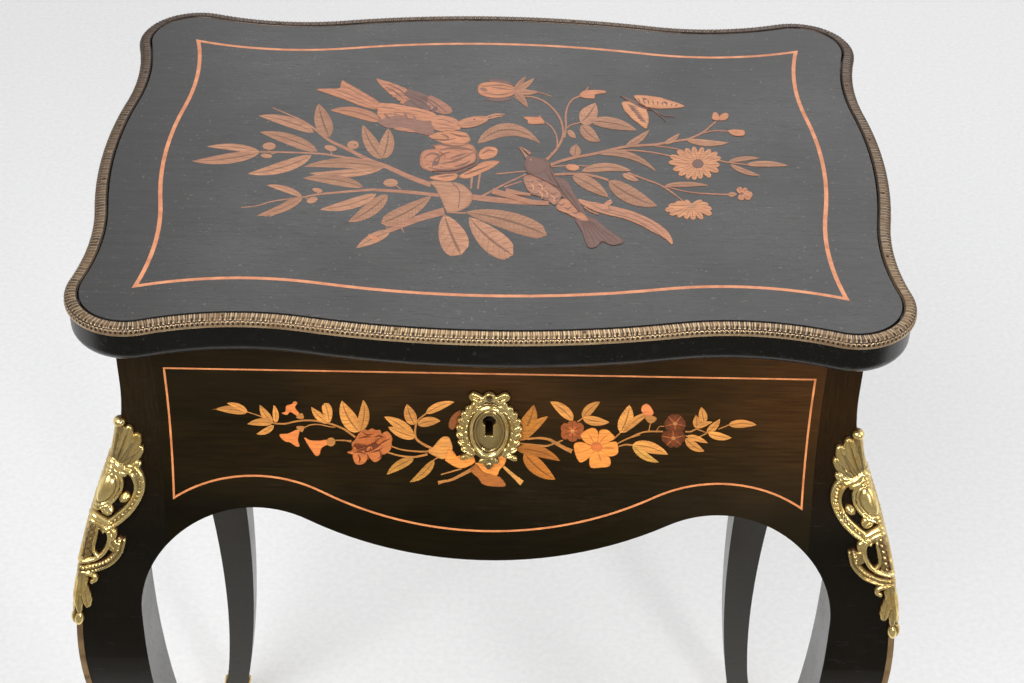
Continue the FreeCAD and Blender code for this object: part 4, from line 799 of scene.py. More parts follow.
def bird_in_flight(lid):
    """The upper bird: its tail, feathered wings, body, neck, head and beak in close stains."""
    brown = (0.33, 0.130, 0.058)
    lid.view = "b"
    lid.blots((0.64, 0.225, 0.083), [
        [(-205, 168), (-110, 162), (-8, 160), (8, 118), (22, 92), (60, 112), (170, 175), (340, 280),
         (330, 345), (200, 322), (60, 266), (-30, 236), (-95, 211), (-160, 190)],
    ])
    lid.leaves((0.64, 0.225, 0.083), [(350, 450, -80, 352, 46, 0.07)])
    lid.strokes(brown, 5, [
        [(-60, 165), (80, 215), (300, 315)], [(20, 130), (130, 190), (310, 290)],
        [(-40, 200), (120, 262), (290, 325)],
    ])
    # The raised wing, with its feathers' ends along the lower edge
    lid.blots((0.58, 0.205, 0.080), [
        [(315, 80), (430, 108), (520, 140), (600, 180), (640, 240), (580, 290), (530, 270), (470, 235),
         (400, 180)],
    ], 0.04, 0.0)
    lid.blots(MAUVE, [
        [(590, 170), (700, 200), (790, 240), (850, 290), (820, 345), (740, 355), (650, 340), (590, 310),
         (560, 240)],
    ], 0.06, 0.0)
    lid.blots((0.46, 0.170, 0.078), [
        [(780, 225), (870, 262), (950, 315), (978, 350), (955, 382), (870, 378), (800, 350), (760, 290)],
    ], 0.04, 0.0)
    lid.leaves((0.58, 0.205, 0.080), [
        (500, 160, 400, 182, 17), (540, 190, 425, 206, 18), (560, 210, 455, 235, 19),
        (590, 240, 495, 262, 19), (610, 260, 520, 290, 20),
    ], veined=0.0)
    lid.leaves(MAUVE, [
        (640, 270, 545, 308, 22), (690, 290, 600, 335, 22), (730, 300, 660, 357, 22),
        (790, 310, 720, 372, 20), (850, 320, 790, 380, 18),
    ], veined=0.0)
    lid.strokes(INK, 5, [
        [(600, 225), (720, 285), (800, 360)], [(640, 215), (760, 270), (870, 365)],
        [(560, 245), (640, 290), (720, 350)], [(420, 125), (520, 175), (600, 240)],
        [(400, 150), (490, 200), (560, 260)], [(700, 225), (820, 285), (930, 368)],
    ])
    # The body, its dark underside and the neck
    lid.blots((0.68, 0.240, 0.088), [
        [(335, 298), (460, 295), (600, 320), (740, 350), (830, 385), (830, 445), (700, 445), (550, 430),
         (400, 440), (335, 400)],
    ], 0.03, 0.0)
    lid.blots((0.33, 0.135, 0.070), [
        [(330, 445), (420, 410), (520, 395), (610, 420), (700, 440), (810, 455), (815, 555), (740, 565),
         (660, 545), (520, 515), (400, 500)],
    ], 0.06, 0.0)
    lid.leaves((0.33, 0.135, 0.070), [
        (440, 440, 380, 375, 12), (520, 430, 470, 368, 12), (590, 440, 560, 375, 12),
        (660, 450, 640, 395, 12),
    ], veined=0.0)
    lid.blots((0.54, 0.195, 0.080), [
        [(470, 505), (560, 505), (660, 535), (640, 545), (560, 535), (490, 525)],
    ])
    lid.blots((0.66, 0.235, 0.088), [
        [(800, 400), (900, 400), (1000, 425), (1045, 470), (1040, 520), (930, 530), (840, 525), (800, 470)],
    ], 0.04, 0.0)
    lid.strokes(brown, 5, [
        [(360, 330), (450, 335), (520, 350)], [(480, 370), (580, 378), (680, 395)],
        [(620, 350), (700, 365), (790, 390)], [(380, 380), (440, 385), (520, 395)],
        [(850, 430), (920, 440), (1000, 470)], [(840, 470), (920, 480), (1000, 505)],
        [(870, 505), (940, 508), (1010, 515)],
    ])
    # The head and the open beak
    lid.blots((0.62, 0.225, 0.085), [
        [(1020, 460), (1100, 420), (1200, 402), (1280, 408), (1290, 440), (1220, 480), (1120, 505),
         (1050, 500)],
    ])
    lid.strokes(brown, 4, [
        [(1080, 470), (1160, 455), (1260, 440)], [(1070, 490), (1150, 480), (1220, 465)],
    ])
    lid.strokes(TAN, 9, [[(1265, 412), (1350, 390), (1435, 386)], [(1270, 430), (1340, 412), (1420, 402)]])
    lid.berries(INK, [(1170, 432, 8, 7, 0.0)])


def right_sprays(lid):
    """The right half of the bouquet: buds, fine stems, daisies and the butterfly."""
    lid.view = "d"
    lid.stems(BRANCH, [
        (5, 12, [(200, 230), (300, 240), (400, 285), (480, 360), (530, 440), (550, 530), (540, 600),
                 (500, 680), (430, 760), (400, 785)]),
        (5, 9, [(770, 150), (740, 190), (700, 225), (630, 260), (590, 320), (572, 400), (575, 500),
                (560, 590)]),
        (4, 8, [(400, 460), (450, 500), (490, 570), (500, 640), (490, 700)]),
        (5, 4, [(580, 510), (620, 480), (700, 460)]), (3, 3, [(170, 185), (300, 185), (450, 232)]),
        (3, 3, [(115, 230), (240, 325)]), (4, 4, [(410, 845), (600, 835), (800, 840)]),
        (12, 6, [(400, 840), (600, 775), (850, 725), (1090, 670), (1345, 651), (1525, 621), (1645, 601),
                 (1765, 546), (1845, 481), (1880, 451)]),
        (6, 4, [(900, 715), (1100, 700), (1300, 715), (1480, 750), (1485, 760)]),
    ])
    lid.leaves((0.52, 0.205, 0.082), [
        (120, 190, 300, 72, 26, 0.05), (120, 190, 225, 55, 22), (125, 195, 240, 328, 30, -0.05),
        (120, 190, 330, 200, 24),
    ])
    lid.stems(BRANCH, [(4, 5, [(130, 190), (165, 195), (210, 235)])])
    lid.leaves(TAN, [
        (700, 460, 830, 290, 75, 0.08), (790, 450, 1190, 527, 50, -0.05), (710, 480, 870, 620, 55, 0.08),
        (590, 530, 660, 595, 25), (850, 730, 1360, 885, 30, -0.12), (710, 885, 1140, 880, 37, -0.08),
        (1095, 665, 1300, 525, 30, 0.06), (650, 755, 665, 650, 50, 0.0),
    ])
    lid.blots(PINK, [
        [(690, 225), (740, 180), (900, 180), (920, 200), (830, 215), (820, 250), (740, 245)],
        [(205, 410), (330, 410), (345, 400), (390, 455), (370, 470), (250, 470), (240, 440)],
    ])
    lid.berries(PINK, [(630, 850, 60, 28, 0.1)])
    lid.view = "e"
    lid.leaves(TAN, [
        (565, 130, 850, 295, 50, -0.05), (850, 165, 1230, 362, 65, 0.05), (960, 115, 1085, 165, 22),
    ])
    lid.stems(BRANCH, [
        (8, 8, [(410, 115), (620, 110), (750, 130), (850, 160)]),
        (6, 3, [(1000, 100), (1130, 150), (1250, 195), (1350, 260), (1445, 330)]),
    ])
    # The far right: daisies, buds and the butterfly
    lid.view = "f"
    lid.stems(BRANCH, [
        (5, 4, [(720, 420), (830, 400), (940, 405)]), (4, 4, [(300, 530), (500, 560), (585, 590)]),
        (5, 4, [(850, 655), (935, 675), (1100, 695)]),
        (3, 5, [(390, 885), (550, 925), (700, 945), (960, 957)]),
        (4, 4, [(310, 855), (420, 910), (560, 1025)]), (4, 3, [(440, 630), (500, 650), (620, 680)]),
    ])
    lid.leaves(TAN, [
        (390, 880, 770, 877, 22, -0.03), (945, 670, 1215, 640, 20, -0.04),
        (1100, 695, 1460, 705, 25, -0.03), (960, 695, 1220, 790, 22, 0.05), (575, 480, 945, 505, 27, 0.04),
        (385, 515, 520, 425, 22, 0.05),
    ])
    petals = [(570, 555), (495, 575), (430, 620), (420, 675), (460, 740), (510, 785), (575, 815), (640, 830),
              (705, 820), (790, 805), (860, 755), (870, 700), (880, 635), (850, 590), (790, 565), (720, 545),
              (640, 540)]
    lid.daisy((678, 690), petals, 25, PETAL, MAUVE, 50, 40)
    petals = [(390, 1092), (430, 1130), (500, 1150), (570, 1170), (640, 1180), (720, 1170), (800, 1130),
              (800, 1085), (770, 1045), (720, 1018), (560, 1015), (480, 1030), (420, 1055)]
    lid.daisy((620, 1052), petals, 25, PETAL, TAN, 40, 20)
    petals = [(1110, 910), (1155, 960), (1140, 990), (1050, 1005), (1030, 895)]
    lid.daisy((1060, 950), petals, 26, PINK, MAUVE, 14, 12)
    lid.leaves(TAN, [(940, 957, 1020, 955, 20)])
    lid.blots(PINK, [
        [(805, 300), (810, 250), (835, 240), (862, 270), (860, 310)],
        [(870, 310), (870, 270), (920, 245), (945, 265), (930, 300)],
        [(940, 400), (1010, 390), (1080, 400), (1080, 440), (1010, 445), (960, 425)],
    ])
    lid.blots(PETAL, [
        [(120, 98), (190, 92), (340, 110), (420, 135), (490, 155), (560, 190), (430, 205), (300, 205),
         (220, 185), (160, 150)],
        [(20, 150), (110, 150), (160, 185), (220, 200), (250, 290), (240, 360), (220, 382), (150, 330),
         (100, 280), (50, 240), (25, 195)],
    ])
    lid.strokes((0.28, 0.110, 0.050), 7, [
        [(150 + 44 * k, 118 + 7 * k), (168 + 40 * k, 140 + 5 * k), (178 + 38 * k, 168 + 3 * k)]
        for k in range(9)
    ] + [
        [(60 + 14 * k, 168 + 18 * k), (100 + 13 * k, 186 + 17 * k), (140 + 12 * k, 192 + 18 * k)]
        for k in range(9)
    ])
    lid.strokes(PINK, 6, [
        [(140, 100), (280, 112), (430, 145), (545, 188)], [(180, 192), (300, 192), (430, 194)],
        [(35, 185), (70, 250), (140, 318), (215, 372)],
    ])
    lid.blots(MAUVE, [[(0, 95), (130, 140), (210, 195), (285, 222), (200, 210), (110, 165)]])
    lid.stems(MAUVE, [
        (3, 2, [(280, 215), (370, 265), (480, 280)]), (3, 2, [(290, 225), (370, 290), (395, 320)]),
    ])
    lid.berries(MAUVE, [
        (215, 125, 20, 8, 0.3), (395, 158, 22, 8, 0.3), (110, 215, 16, 10, 0.8), (170, 290, 16, 10, 0.9),
    ])


def perched_bird(lid):
    """The lower bird on its stump: beak, head, breast, wing, tail and claws."""
    lid.view = "e"
    lid.stems((0.62, 0.235, 0.095), [
        (12, 34, [(612, 318), (690, 350), (760, 372)]),
        (34, 38, [(760, 372), (870, 400), (1000, 432), (1120, 480), (1220, 535)]),
        (38, 8, [(1220, 535), (1290, 580), (1330, 625), (1348, 662)]),
        (26, 14, [(830, 370), (845, 345), (875, 325)]),
    ])
    lid.strokes((0.35, 0.145, 0.068), 6, [
        [(700, 345), (800, 392), (900, 402), (1010, 440)],
        [(780, 395), (900, 428), (1050, 470), (1180, 535)],
        [(980, 415), (1100, 455), (1210, 515), (1290, 590)], [(1100, 500), (1200, 550), (1290, 620)],
        [(850, 350), (858, 385), (880, 400)],
    ])
    lid.stems(BRANCH, [
        (22, 15, [(-60, 245), (100, 290), (240, 330), (380, 340)]),
        (16, 10, [(45, 240), (150, 262), (240, 275)]),
    ])
    lid.blots(MAUVE, [
        [(590, 460), (720, 450), (850, 550), (970, 640), (880, 670), (800, 640), (760, 680), (690, 685),
         (640, 560)],
        [(200, 0), (370, 0), (410, 120), (520, 160), (590, 280), (650, 380), (700, 490), (640, 440),
         (560, 330), (480, 290), (400, 200), (330, 120), (220, 110)],
    ])
    lid.blots((0.62, 0.225, 0.085), [
        [(440, 380), (480, 310), (540, 320), (600, 390), (670, 440), (700, 495), (600, 460), (520, 420)],
    ])
    lid.blots((0.48, 0.19, 0.085), [
        [(190, 130), (330, 120), (390, 190), (470, 250), (480, 290), (430, 355), (350, 300), (250, 270),
         (200, 210)],
    ])
    lid.strokes((0.25, 0.105, 0.06), 8, [
        [(x, y), (x + 34, y + 12), (x + 62, y - 8)]
        for x, y in ((205, 170), (285, 160), (215, 215), (295, 205), (250, 262), (330, 250), (390, 262),
                     (330, 300), (405, 300), (450, 345), (500, 375), (560, 410))
    ])
    lid.strokes(PETAL, 7, [
        [(x, y), (x + 30, y + 30), (x + 26, y + 62)]
        for x, y in ((230, 180), (300, 185), (340, 235), (395, 275), (300, 245))
    ])
    for shift in range(6):
        tip = (700 + 45 * shift, 668 - 6 * shift)
        lid.stems(INK, [(4, 2, [(640 + 12 * shift, 480), tip])])
    lid.strokes(INK, 5, [
        [(400, 60), (450, 180), (560, 300)], [(330, 60), (400, 160), (500, 290)],
        [(470, 180), (560, 290), (640, 420)],
    ])
    lid.view = "d"
    lid.blots(MAUVE, [[(215, 745), (330, 770), (400, 800), (400, 880), (300, 910), (240, 880), (230, 800)]])
    lid.stems((0.48, 0.19, 0.085), [
        (12, 2, [(232, 760), (195, 710), (165, 675)]), (12, 2, [(265, 735), (220, 700), (178, 675)]),
    ])
    lid.berries(PINK, [(268, 785, 9, 8, 0.0)])
    lid.view = "e"
    lid.stems(BRANCH, [(5, 4, [(660, 370), (700, 400), (770, 430)])])


def front_sprays():
    """The spray on the front, in livelier stains: trumpets, a carnation, roses, buds and leaves."""
    front = Inlay(on_front, lay_on_front)
    stem_tint = (0.47, 0.19, 0.045)
    orange = (0.80, 0.235, 0.055)
    front.view = "g"
    front.stems(stem_tint, [
        (5, 7, [(475, 190), (600, 230), (660, 260)]),
        (9, 10, [(790, 320), (900, 320), (1050, 290), (1200, 285), (1400, 320), (1568, 385)]),
        (6, 6, [(1110, 365), (1180, 335), (1280, 330), (1400, 355), (1460, 360)]),
        (6, 9, [(1465, 505), (1568, 510), (1640, 515)]), (1, 2, [(82, 160), (122, 158)]),
        (6, 8, [(660, 260), (720, 290), (790, 320)]),
    ])
    front.leaves(GOLD, [
        (475, 195, 120, 158, 45, 0.04), (475, 190, 245, 92, 30, 0.08), (760, 310, 615, 112, 45, -0.06),
        (790, 310, 770, 112, 35, 0.06), (760, 315, 475, 325, 42, 0.06), (770, 340, 580, 435, 35, -0.08),
        (1380, 310, 1190, 135, 45, -0.06),
    ])
    front.leaves(GOLD, [(1390, 310, 1340, 90, 55, 0.05)], "petal")
    front.blots(orange, [
        [(860, 200), (900, 180), (910, 120), (970, 100), (1000, 70), (1035, 90), (1010, 140), (1060, 210),
         (1040, 240), (960, 190), (920, 220), (880, 215)],
        [(840, 440), (930, 430), (1020, 390), (1060, 400), (1040, 500), (1060, 570), (1020, 575),
         (950, 530), (900, 520), (850, 480)],
        [(1110, 475), (1180, 505), (1280, 510), (1380, 500), (1400, 540), (1310, 590), (1280, 670),
         (1240, 680), (1200, 630), (1160, 570)],
    ])
    front.blots(stem_tint, [
        [(1020, 250), (1080, 200), (1110, 250), (1080, 270)],
        [(1020, 355), (1110, 350), (1110, 380), (1080, 415)],
    ])
    front.berries(stem_tint, [(1410, 525, 50, 50, 0.0)])
    # Leaves and flowers left of the plate
    front.view = "h"
    front.stems(stem_tint, [
        (10, 11, [(0, 325), (100, 370), (220, 455)]), (6, 8, [(0, 490), (100, 490), (175, 505)]),
        (8, 14, [(985, 200), (900, 270), (870, 350), (870, 450), (920, 510), (1050, 580)]),
        (6, 10, [(600, 550), (720, 590), (900, 610), (1010, 610)]),
        (8, 12, [(570, 620), (700, 655), (850, 670), (1000, 640)]), (6, 8, [(1070, 700), (1120, 670)]),
        (6, 9, [(1145, 860), (1250, 830), (1370, 795)]),
        (8, 26, [(1120, 945), (1260, 915), (1470, 810), (1500, 790)]),
        (20, 12, [(1115, 948), (1150, 940), (1210, 925)]),
    ])
    front.leaves(GOLD, [
        (265, 395, 75, 62, 85, -0.08), (270, 390, 305, 55, 60, 0.08), (850, 450, 535, 235, 60, 0.05),
        (870, 455, 575, 345, 55, -0.03), (865, 320, 780, 98, 65, -0.06), (985, 200, 1290, 75, 45, -0.06),
        (895, 320, 1140, 280, 52, -0.06),
    ])
    front.leaves((0.50, 0.225, 0.042), [(850, 690, 560, 860, 50, 0.06), (1070, 700, 810, 940, 45, -0.08)])
    front.blots(RUST, [
        [(130, 615), (190, 600), (180, 520), (220, 480), (240, 440), (300, 375), (350, 380), (400, 360),
         (440, 380), (490, 380), (510, 420), (560, 390), (610, 440), (620, 490), (600, 540), (600, 590),
         (540, 640), (480, 650), (430, 725), (370, 670), (340, 710), (290, 750), (220, 740), (190, 640)],
        [(240, 440), (300, 375), (350, 380), (370, 450), (330, 540), (260, 560), (210, 520)],
        [(370, 400), (400, 360), (440, 380), (490, 380), (490, 450), (440, 520), (380, 500)],
        [(500, 430), (560, 390), (610, 440), (600, 520), (540, 560), (480, 520)],
    ])
    front.blots(DARK_RED, [
        [(180, 600), (220, 520), (300, 560), (400, 540), (500, 450), (540, 430), (520, 500), (450, 575),
         (340, 625), (250, 630)],
    ])
    front.blots((0.47, 0.130, 0.032), [
        [(225, 500), (270, 450), (330, 455), (345, 505), (300, 545), (240, 540)],
        [(335, 470), (390, 430), (450, 435), (455, 490), (400, 530), (345, 520)],
        [(440, 470), (500, 425), (550, 440), (545, 490), (490, 530), (445, 515)],
        [(255, 430), (310, 385), (370, 390), (375, 430), (320, 455), (270, 460)],
        [(375, 405), (430, 375), (490, 395), (490, 435), (430, 445), (385, 435)],
    ])
    front.blots(RUST, [
        [(500, 560), (560, 500), (612, 520), (600, 590), (540, 640), (500, 620)],
        [(370, 670), (380, 620), (480, 610), (500, 680), (430, 725)],
        [(190, 640), (240, 600), (350, 640), (340, 710), (290, 750), (220, 740)],
        [(130, 615), (190, 600), (200, 550), (240, 600), (190, 640)],
    ])
    front.strokes(DARK_RED, 10, [
        [(200, 560), (250, 545), (320, 552)], [(330, 550), (400, 530), (460, 495)],
        [(260, 470), (330, 450), (400, 455)], [(430, 450), (480, 440), (540, 460)],
        [(470, 540), (530, 500), (600, 470)], [(300, 400), (350, 430), (420, 420)],
        [(250, 640), (270, 690), (260, 730)], [(350, 640), (360, 680), (355, 700)],
        [(480, 600), (500, 650), (470, 690)], [(200, 620), (260, 615), (340, 640)],
        [(390, 620), (460, 600), (520, 570)],
    ])
    front.blots(GOLD, [
        [(1000, 610), (1060, 560), (1150, 460), (1220, 450), (1250, 490), (1270, 600), (1180, 690),
         (1100, 670)],
    ])
    front.blots((0.27, 0.085, 0.022), [
        [(1228, 335), (1242, 265), (1285, 205), (1350, 165), (1400, 175), (1400, 250), (1310, 345),
         (1262, 374)],
    ])
    front.blots(ORANGE, [
        [(1190, 690), (1240, 560), (1300, 660), (1450, 620), (1510, 690), (1500, 740), (1380, 790),
         (1290, 770), (1210, 720)],
    ])
    # Below and right of the plate
    front.view = "i"
    front.stems(stem_tint, [
        (10, 14, [(1000, 650), (1200, 630), (1340, 632), (1450, 655), (1568, 710)]),
        (8, 10, [(1000, 690), (1200, 710), (1390, 725), (1500, 695), (1568, 670)]),
    ])
    front.stems((0.66, 0.30, 0.075), [
        (16, 30, [(830, 1000), (940, 1100), (1070, 1215)]),
        (30, 36, [(1010, 1155), (1040, 1190), (1072, 1215)]),
    ])
    front.leaves((0.56, 0.205, 0.030), [
        (1010, 650, 1225, 195, 110, 0.08), (1050, 660, 1410, 345, 65, -0.05),
    ])
    front.leaves((0.47, 0.155, 0.022), [
        (990, 770, 1568, 925, 75, -0.08), (1100, 820, 1505, 1165, 100, 0.06),
    ])
    front.blots(ORANGE, [
        [(460, 950), (600, 950), (850, 830), (850, 960), (780, 1040), (740, 1120), (620, 1090),
         (520, 1040)],
    ])
    front.blots((0.42, 0.135, 0.027), [
        [(400, 1050), (480, 960), (520, 1050), (740, 1120), (800, 1150), (860, 1250), (700, 1260),
         (560, 1230), (500, 1150)],
    ])
    front.view = "j"
    front.stems(stem_tint, [
        (8, 10, [(620, 240), (690, 320)]), (8, 10, [(820, 300), (750, 350)]),
        (10, 28, [(100, 575), (250, 560), (380, 580), (470, 630), (600, 700), (680, 735)]),
        (8, 8, [(0, 630), (200, 650), (330, 670), (450, 630), (560, 590)]),
        (8, 8, [(1310, 490), (1230, 570)]), (7, 12, [(1280, 630), (1400, 570), (1568, 510)]),
        (7, 7, [(1290, 670), (1380, 650), (1500, 660)]),
    ])
    front.leaves(GOLD, [
        (690, 330, 395, 85, 70, 0.06), (820, 300, 1045, 90, 60, -0.08), (820, 300, 1165, 355, 60, 0.04),
        (1310, 490, 1430, 130, 95, 0.06), (1340, 490, 1715, 220, 50, -0.06),
    ])
    for angle in np.arange(6) * np.pi / 3 + 0.5:
        tip = (685 + 170 * np.cos(angle), 470 + 140 * np.sin(angle))
        front.add(blade((685, 470), tip, 62, profile="drop"), (0.50, 0.125, 0.028), 0.5)
        front.strokes(DARK_RED, 6, [
            [(685, 470), (685 + 60 * np.cos(angle), 470 + 50 * np.sin(angle)), tip],
        ])
    front.berries((0.66, 0.24, 0.07), [(685, 470, 30, 26, 0.0)])
    front.berries((0.70, 0.22, 0.045), [(1000, 680, 95, 75, 0.2)])
    front.blots(ORANGE, [
        [(790, 515), (925, 430), (1010, 460), (1022, 560), (990, 650), (940, 650), (850, 615)],
        [(1020, 580), (1040, 465), (1130, 450), (1195, 495), (1242, 560), (1170, 608), (1070, 650),
         (1010, 650)],
        [(1030, 690), (1140, 622), (1260, 610), (1282, 680), (1275, 765), (1180, 802), (1080, 755)],
        [(930, 730), (1000, 690), (1090, 735), (1178, 830), (1170, 925), (1040, 948), (925, 945),
         (905, 850)],
        [(708, 640), (800, 612), (930, 660), (985, 690), (925, 790), (850, 858), (775, 872), (718, 760)],
    ])
    front.strokes((0.50, 0.15, 0.035), 7, [
        [(980, 640), (930, 560), (900, 500)], [(1030, 635), (1090, 560), (1150, 520)],
        [(1060, 690), (1150, 690), (1230, 690)], [(1010, 720), (1040, 800), (1060, 880)],
        [(950, 690), (870, 720), (790, 740)],
    ])
    front.berries((0.66, 0.17, 0.04), [(1000, 675, 76, 60, 0.2)])
    # The far right end
    front.view = "k"
    front.stems(stem_tint, [
        (5, 5, [(320, 290), (310, 330), (300, 375)]),
        (6, 8, [(0, 490), (110, 440), (200, 400), (290, 380), (450, 380)]),
        (4, 4, [(380, 375), (410, 330), (460, 325)]), (6, 6, [(0, 530), (60, 515), (130, 520)]),
        (7, 7, [(680, 380), (740, 380), (800, 350)]),
        (6, 6, [(685, 425), (800, 440), (860, 420), (910, 395)]), (5, 5, [(1030, 355), (1140, 310)]),
        (5, 5, [(790, 350), (900, 390)]),
    ])
    front.leaves(GOLD, [
        (130, 520, 500, 620, 60, -0.06), (800, 345, 790, 210, 42, 0.06), (800, 345, 965, 280, 25, -0.05),
        (880, 290, 850, 125, 45, 0.0), (905, 390, 1045, 250, 38, 0.06), (920, 395, 1165, 445, 40, 0.05),
        (1135, 310, 1425, 310, 42, -0.04), (685, 450, 880, 585, 45, 0.08), (700, 430, 915, 500, 30, -0.04),
    ])
    front.leaves((0.62, 0.31, 0.06), [(130, 520, 405, 700, 40, 0.08)])
    front.blots((0.86, 0.25, 0.075), [
        [(220, 150), (240, 105), (280, 90), (320, 120), (350, 180), (330, 215), (280, 215), (240, 190)],
    ])
    front.blots(stem_tint, [[(260, 215), (330, 215), (380, 235), (370, 270), (320, 295), (280, 270)]])
    for middle, wide, tall, start in (((575, 295), 115, 92, 0.3), ((558, 450), 128, 88, 0.9)):
        for angle in np.arange(5) * 2 * np.pi / 5 + start:
            tip = (middle[0] + wide * np.cos(angle), middle[1] + tall * np.sin(angle))
            front.add(blade(middle, tip, 60, profile="petal"), (0.17, 0.040, 0.010), 0.5)
            front.strokes((0.45, 0.13, 0.035), 5, [[middle, tip]])
        front.berries((0.50, 0.20, 0.06), [(*middle, 24, 20, 0.0)])
    front.make("front_marquetry", "case", veneer_wood("front_veneer", 0.12, (1.0, 0.99, 1.0)))


lid_sprays()
front_sprays()


# Relief of the gilt mounts. A relief is a grid in a flat chart with two fields: how far each point
# lies inside the fretted outline, and how high the metal stands there.


def dome(ratio, power=0.5):
    """The height of a dome of height 1 at a share of its radius: (1 - ratio squared) to a power."""
    return np.clip(1 - ratio**2, 0, 1) ** power


def compact(faces, count):
    """The points out of count that faces use, and the faces by their new places in that list."""
    used = np.unique(faces)
    fresh = np.full(count, -1)
    fresh[used] = np.arange(len(used))
    return used, fresh[faces]


class Relief:
    """The two fields over a grid of chart points, both raised by each stroke laid on. Strokes are mirrored
    across the middle while side is -1."""

    def __init__(self, across, along):
        self.grid = np.stack(np.meshgrid(across, along, indexing="ij"), axis=-1)
        self.cell = np.array([across[1] - across[0], along[1] - along[0]])
        self.inside = np.full(self.grid.shape[:2], -9.0)
        self.height = np.zeros(self.grid.shape[:2])
        self.side = 1

    def lay(self, inside, height):
        """Raise both fields to a stroke's own where the stroke is higher."""
        self.inside = np.maximum(self.inside, inside)
        self.height = np.maximum(self.height, np.where(inside > 0, height, 0))

    def turned(self, points):
        """Points on the side that is being laid."""
        return np.asarray(points, float) * (self.side, 1)

    def offsets(self, path):
        """Each grid point's distance to a smooth line, and how far along the line that is, 0 to 1."""
        line = smooth_line(self.turned(path), 5)
        start, span = line[:-1], np.diff(line, axis=0)
        size = np.maximum((span**2).sum(axis=-1), 1e-9)
        away = self.grid[..., None, :] - start
        share = np.clip((away * span).sum(axis=-1) / size, 0, 1)
        gap = np.linalg.norm(away - share[..., None] * span, axis=-1)
        nearest = gap.argmin(axis=-1)
        pick = np.take_along_axis(share, nearest[..., None], -1)[..., 0]
        return gap.min(axis=-1), (nearest + pick) / len(span)

    def cord(self, path, first, last, height, middle=None):
        """A round bar along a line: a half circle in section, with a half width that changes."""
        gap, share = self.offsets(path)
        width = np.interp(share, [0, 0.5, 1], [first, (first + last) / 2 if middle is None else middle, last])
        self.lay(width - gap, height * dome(gap / width))

    def band(self, path, first, last, height):
        """A flat band along a line, with softened edges."""
        gap, share = self.offsets(path)
        width = first + (last - first) * share
        self.lay(width - gap, height * np.clip((width - gap) / 0.7, 0, 1) ** 0.5)

    def beads(self, path, count, radius, height):
        """A row of round beads along a line."""
        line = smooth_line(self.turned(path), 12)
        steps = np.concatenate([[0], np.cumsum(np.linalg.norm(np.diff(line, axis=0), axis=-1))])
        places = np.linspace(0, steps[-1], count)
        middles = np.stack([np.interp(places, steps, line[:, key]) for key in (0, 1)], axis=-1)
        gap = np.linalg.norm(self.grid[..., None, :] - middles, axis=-1).min(axis=-1)
        self.lay(radius - gap, height * dome(gap / radius))

    def oval(self, middle, wide, tall, height, power=0.5):
        """A domed oval."""
        gap = np.linalg.norm((self.grid - self.turned(middle)) / (wide, tall), axis=-1)
        self.lay((1 - gap) * min(wide, tall), height * dome(gap, power))

    def ring(self, middle, wide, tall, half, height):
        """A round bar bent to an oval."""
        away = (self.grid - self.turned(middle)) / (wide, tall)
        gap = np.abs(np.linalg.norm(away, axis=-1) - 1) * (wide + tall) / 2
        self.lay(half - gap, height * dome(gap / half))

    def leaf(self, base, tip, half, height, groove=0.35, lobes=0, profile="leaf", curl=0.0):
        """A leaf: rounded across with a sunk midrib, lobed at its edge, and lifted at its tip by curl."""
        base, tip = self.turned(base), self.turned(tip)
        length = np.linalg.norm(tip - base)
        along = (tip - base) / length
        away = self.grid - base
        t = (away @ along) / length
        across = np.abs(away @ np.array([-along[1], along[0]]))
        inner = np.clip(t, 1e-4, 1 - 1e-4)
        width = half * leaf_width(inner, profile)
        if lobes:
            width = width * (0.86 + 0.14 * np.abs(np.cos(np.pi * lobes * inner)))
        inside = np.minimum(width - across, np.minimum(t, 1 - t) * length + 0.2)
        ratio = np.clip(across / np.maximum(width, 1e-3), 0, 1)
        bow = dome(ratio) * (1 - groove * np.exp(-((ratio / 0.22) ** 2)))
        self.lay(inside, height * bow * (0.75 + 0.25 * np.sin(np.pi * inner)) + curl * inner**2)

    def flute(self, path, width, depth):
        """A groove sunk along a line where there is metal."""
        gap, share = self.offsets(path)
        self.height = self.height - depth * np.exp(-((gap / width) ** 2)) * (share < 1)

    def open(self, inside):
        """Cut a window where inside is above zero."""
        self.inside = np.minimum(self.inside, -inside)

    def surface(self, place, sheet=0.7):
        """Points, faces and depth: whole cells inside the outline, with the rim drawn onto it."""
        slope = np.stack(np.gradient(self.inside, *self.cell), axis=-1)
        steep = np.maximum((slope**2).sum(axis=-1), 0.25)
        pull = np.clip(-self.inside / steep, 0, self.cell.max() * 1.3)[..., None] * slope
        outside = self.inside <= 0
        chart = np.where(outside[..., None], self.grid + pull, self.grid)
        height = np.where(outside, -RIM_SINK, sheet + np.maximum(self.height, 0))
        faces = grid_faces(*outside.shape)
        used, faces = compact(faces[(~outside).ravel()[faces].any(axis=-1)], outside.size)
        depth = np.where(outside, 0.0, self.height / max(self.height.max(), 1e-6)).ravel()[used]
        return place(chart.reshape(-1, 2)[used], height.ravel()[used]), faces, depth


def cavity_tint(depth):
    """Depth as a grey tint, for the grime and painted shade in the hollows."""
    return np.column_stack([depth, depth, depth, np.ones(len(depth))])


def gild(name, stood_for, points, faces, depth, thickness=0.5):
    """One gilt piece in place of a CAD node, given its own thickness inwards."""
    piece = place_mesh(name, points, faces.tolist(), "case", GILT, cavity_tint(depth))
    thicken(piece, thickness)
    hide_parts(stood_for)


CORNERS = {"front_right": (1, 1), "front_left": (-1, 1), "back_right": (1, -1), "back_left": (-1, -1)}
RIM_SINK = 0.35
MOUNT_CELL = 0.6
CORNER_BEND = 2.0
MOUNT_MIDDLE = 605.0
MOUNT_SHARE = 0.963


